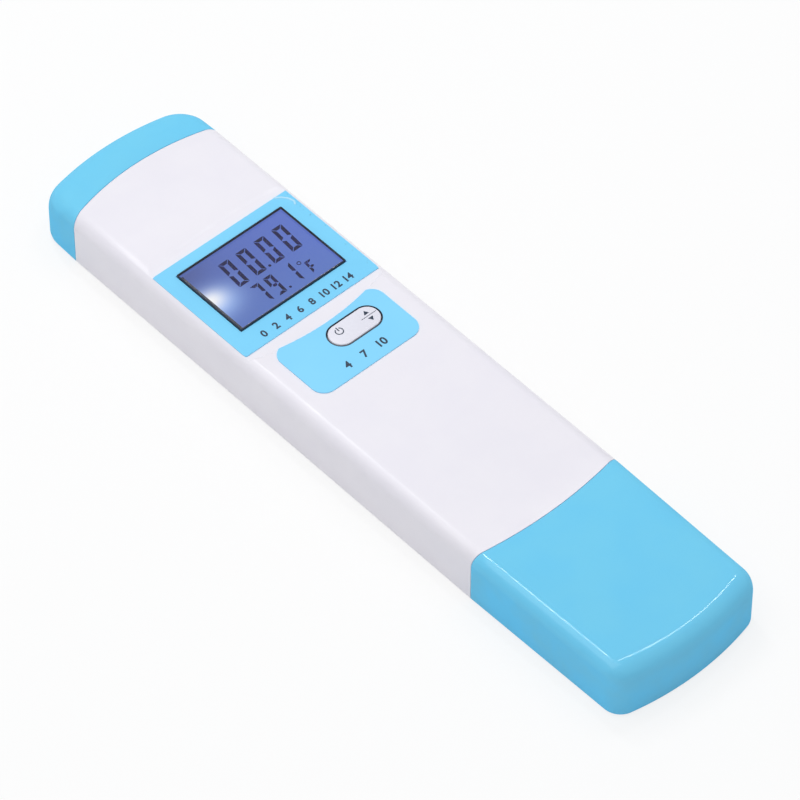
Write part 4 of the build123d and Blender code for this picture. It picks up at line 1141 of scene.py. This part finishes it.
def make_stage():
    """Pale floor that is white to the camera and keeps the object's soft shadow."""
    low, high = (-FLOOR_REACH, -FLOOR_REACH, -20.0), (FLOOR_REACH, FLOOR_REACH, -0.02)
    floor = piece("floor", *box_mesh(low, high))
    material, tree, _, _ = start_material("floor_paper", 20.0, 300.0)
    paper = add(tree, "BsdfDiffuse", {"Color": (0.9, 0.9, 0.9, 1.0)})
    path = add(tree, "LightPath").outputs
    seen = maths(tree, "MAXIMUM", path["Is Camera Ray"], path["Is Glossy Ray"])
    seen = maths(tree, "MAXIMUM", seen, path["Is Transmission Ray"])
    share = maths(tree, "MULTIPLY", seen, FLOOR_SHARE)
    finish_material(material, mixed(tree, share, paper.outputs[0], glowing(tree, (1, 1, 1, 1), 1.0)))
    dress(floor, material)


def make_world():
    """Even pale surroundings that the camera sees as white."""
    world = bpy.data.worlds.new("studio")
    bpy.context.scene.world = world
    world.use_nodes = True
    tree = world.node_tree
    tree.nodes.clear()
    light = add(tree, "Background", {"Color": (0.96, 0.98, 1.0, 1.0), "Strength": 0.51})
    white = add(tree, "Background", {"Color": (1, 1, 1, 1), "Strength": 1.0})
    seen = add(tree, "LightPath").outputs["Is Camera Ray"]
    output = add(tree, "OutputWorld")
    tree.links.new(mixed(tree, seen, light.outputs[0], white.outputs[0]), output.inputs["Surface"])


# Name, place, point aimed at, width across the pen, height along it, watts. A large soft light from
# above, and two strips that draw the bright lines on the rounded edges.
LAMPS = (
    ("soft_top", (-230, 150, 900), (0, 0, 0), 800, 800, 3.3),
    ("strip_side", (110, 330, 640), (-17, -20, 13), 36, 220, 0.85),
    ("strip_end", (310, 45, 640), (-5, -88, 13), 240, 36, 0.5),
)


def area_light(name, place, aim, width, height, power):
    """Rectangular lamp at a place, turned towards aim."""
    lamp = bpy.data.lights.new(name, "AREA")
    lamp.shape = "RECTANGLE"
    lamp.size = width * MM
    lamp.size_y = height * MM
    lamp.energy = power
    obj = bpy.data.objects.new(name, lamp)
    ahead = (Vector(place) - Vector(aim)).normalized()
    upright = ahead.cross(Vector((1, 0, 0))).normalized()
    set_up(obj, (upright.cross(ahead), upright, ahead), Vector(place))


def set_up(obj, directions, place):
    """Links a lamp or camera, turned to its right, up and back directions, at a place in millimetres."""
    turn = Matrix(directions).transposed().to_4x4()
    obj.matrix_world = Matrix.Translation(place * MM) @ turn
    bpy.context.scene.collection.objects.link(obj)


# Camera fitted to the photograph: direction, focal length in pixels, distance and off-centre in millimetres
AZIMUTH = -42.20
ELEVATION = 49.46
FOCAL = 5678.0
FRAME_WIDTH = 800.0
SENSOR = 36.0
DISTANCE = 1164.78
OFF_RIGHT = -2.29
OFF_UP = -3.71
CLIP_END = 20.0              # metres


def make_camera():
    """Camera at the photograph's viewing angle."""
    az, el = radians(AZIMUTH), radians(ELEVATION)
    back = Vector((sin(az) * cos(el), -cos(az) * cos(el), sin(el)))
    right = Vector((cos(az), sin(az), 0))
    up = back.cross(right)
    camera = bpy.data.objects.new("camera", bpy.data.cameras.new("camera"))
    camera.data.sensor_width = SENSOR
    camera.data.lens = FOCAL * SENSOR / FRAME_WIDTH
    camera.data.clip_end = CLIP_END
    set_up(camera, (right, up, back), back * DISTANCE - right * OFF_RIGHT - up * OFF_UP)
    bpy.context.scene.camera = camera


dress_nodes()
make_shells()
make_prints()
make_stage()
make_world()
for lamp_row in LAMPS:
    area_light(*lamp_row)
make_camera()
bpy.context.scene.view_settings.view_transform = "Standard"
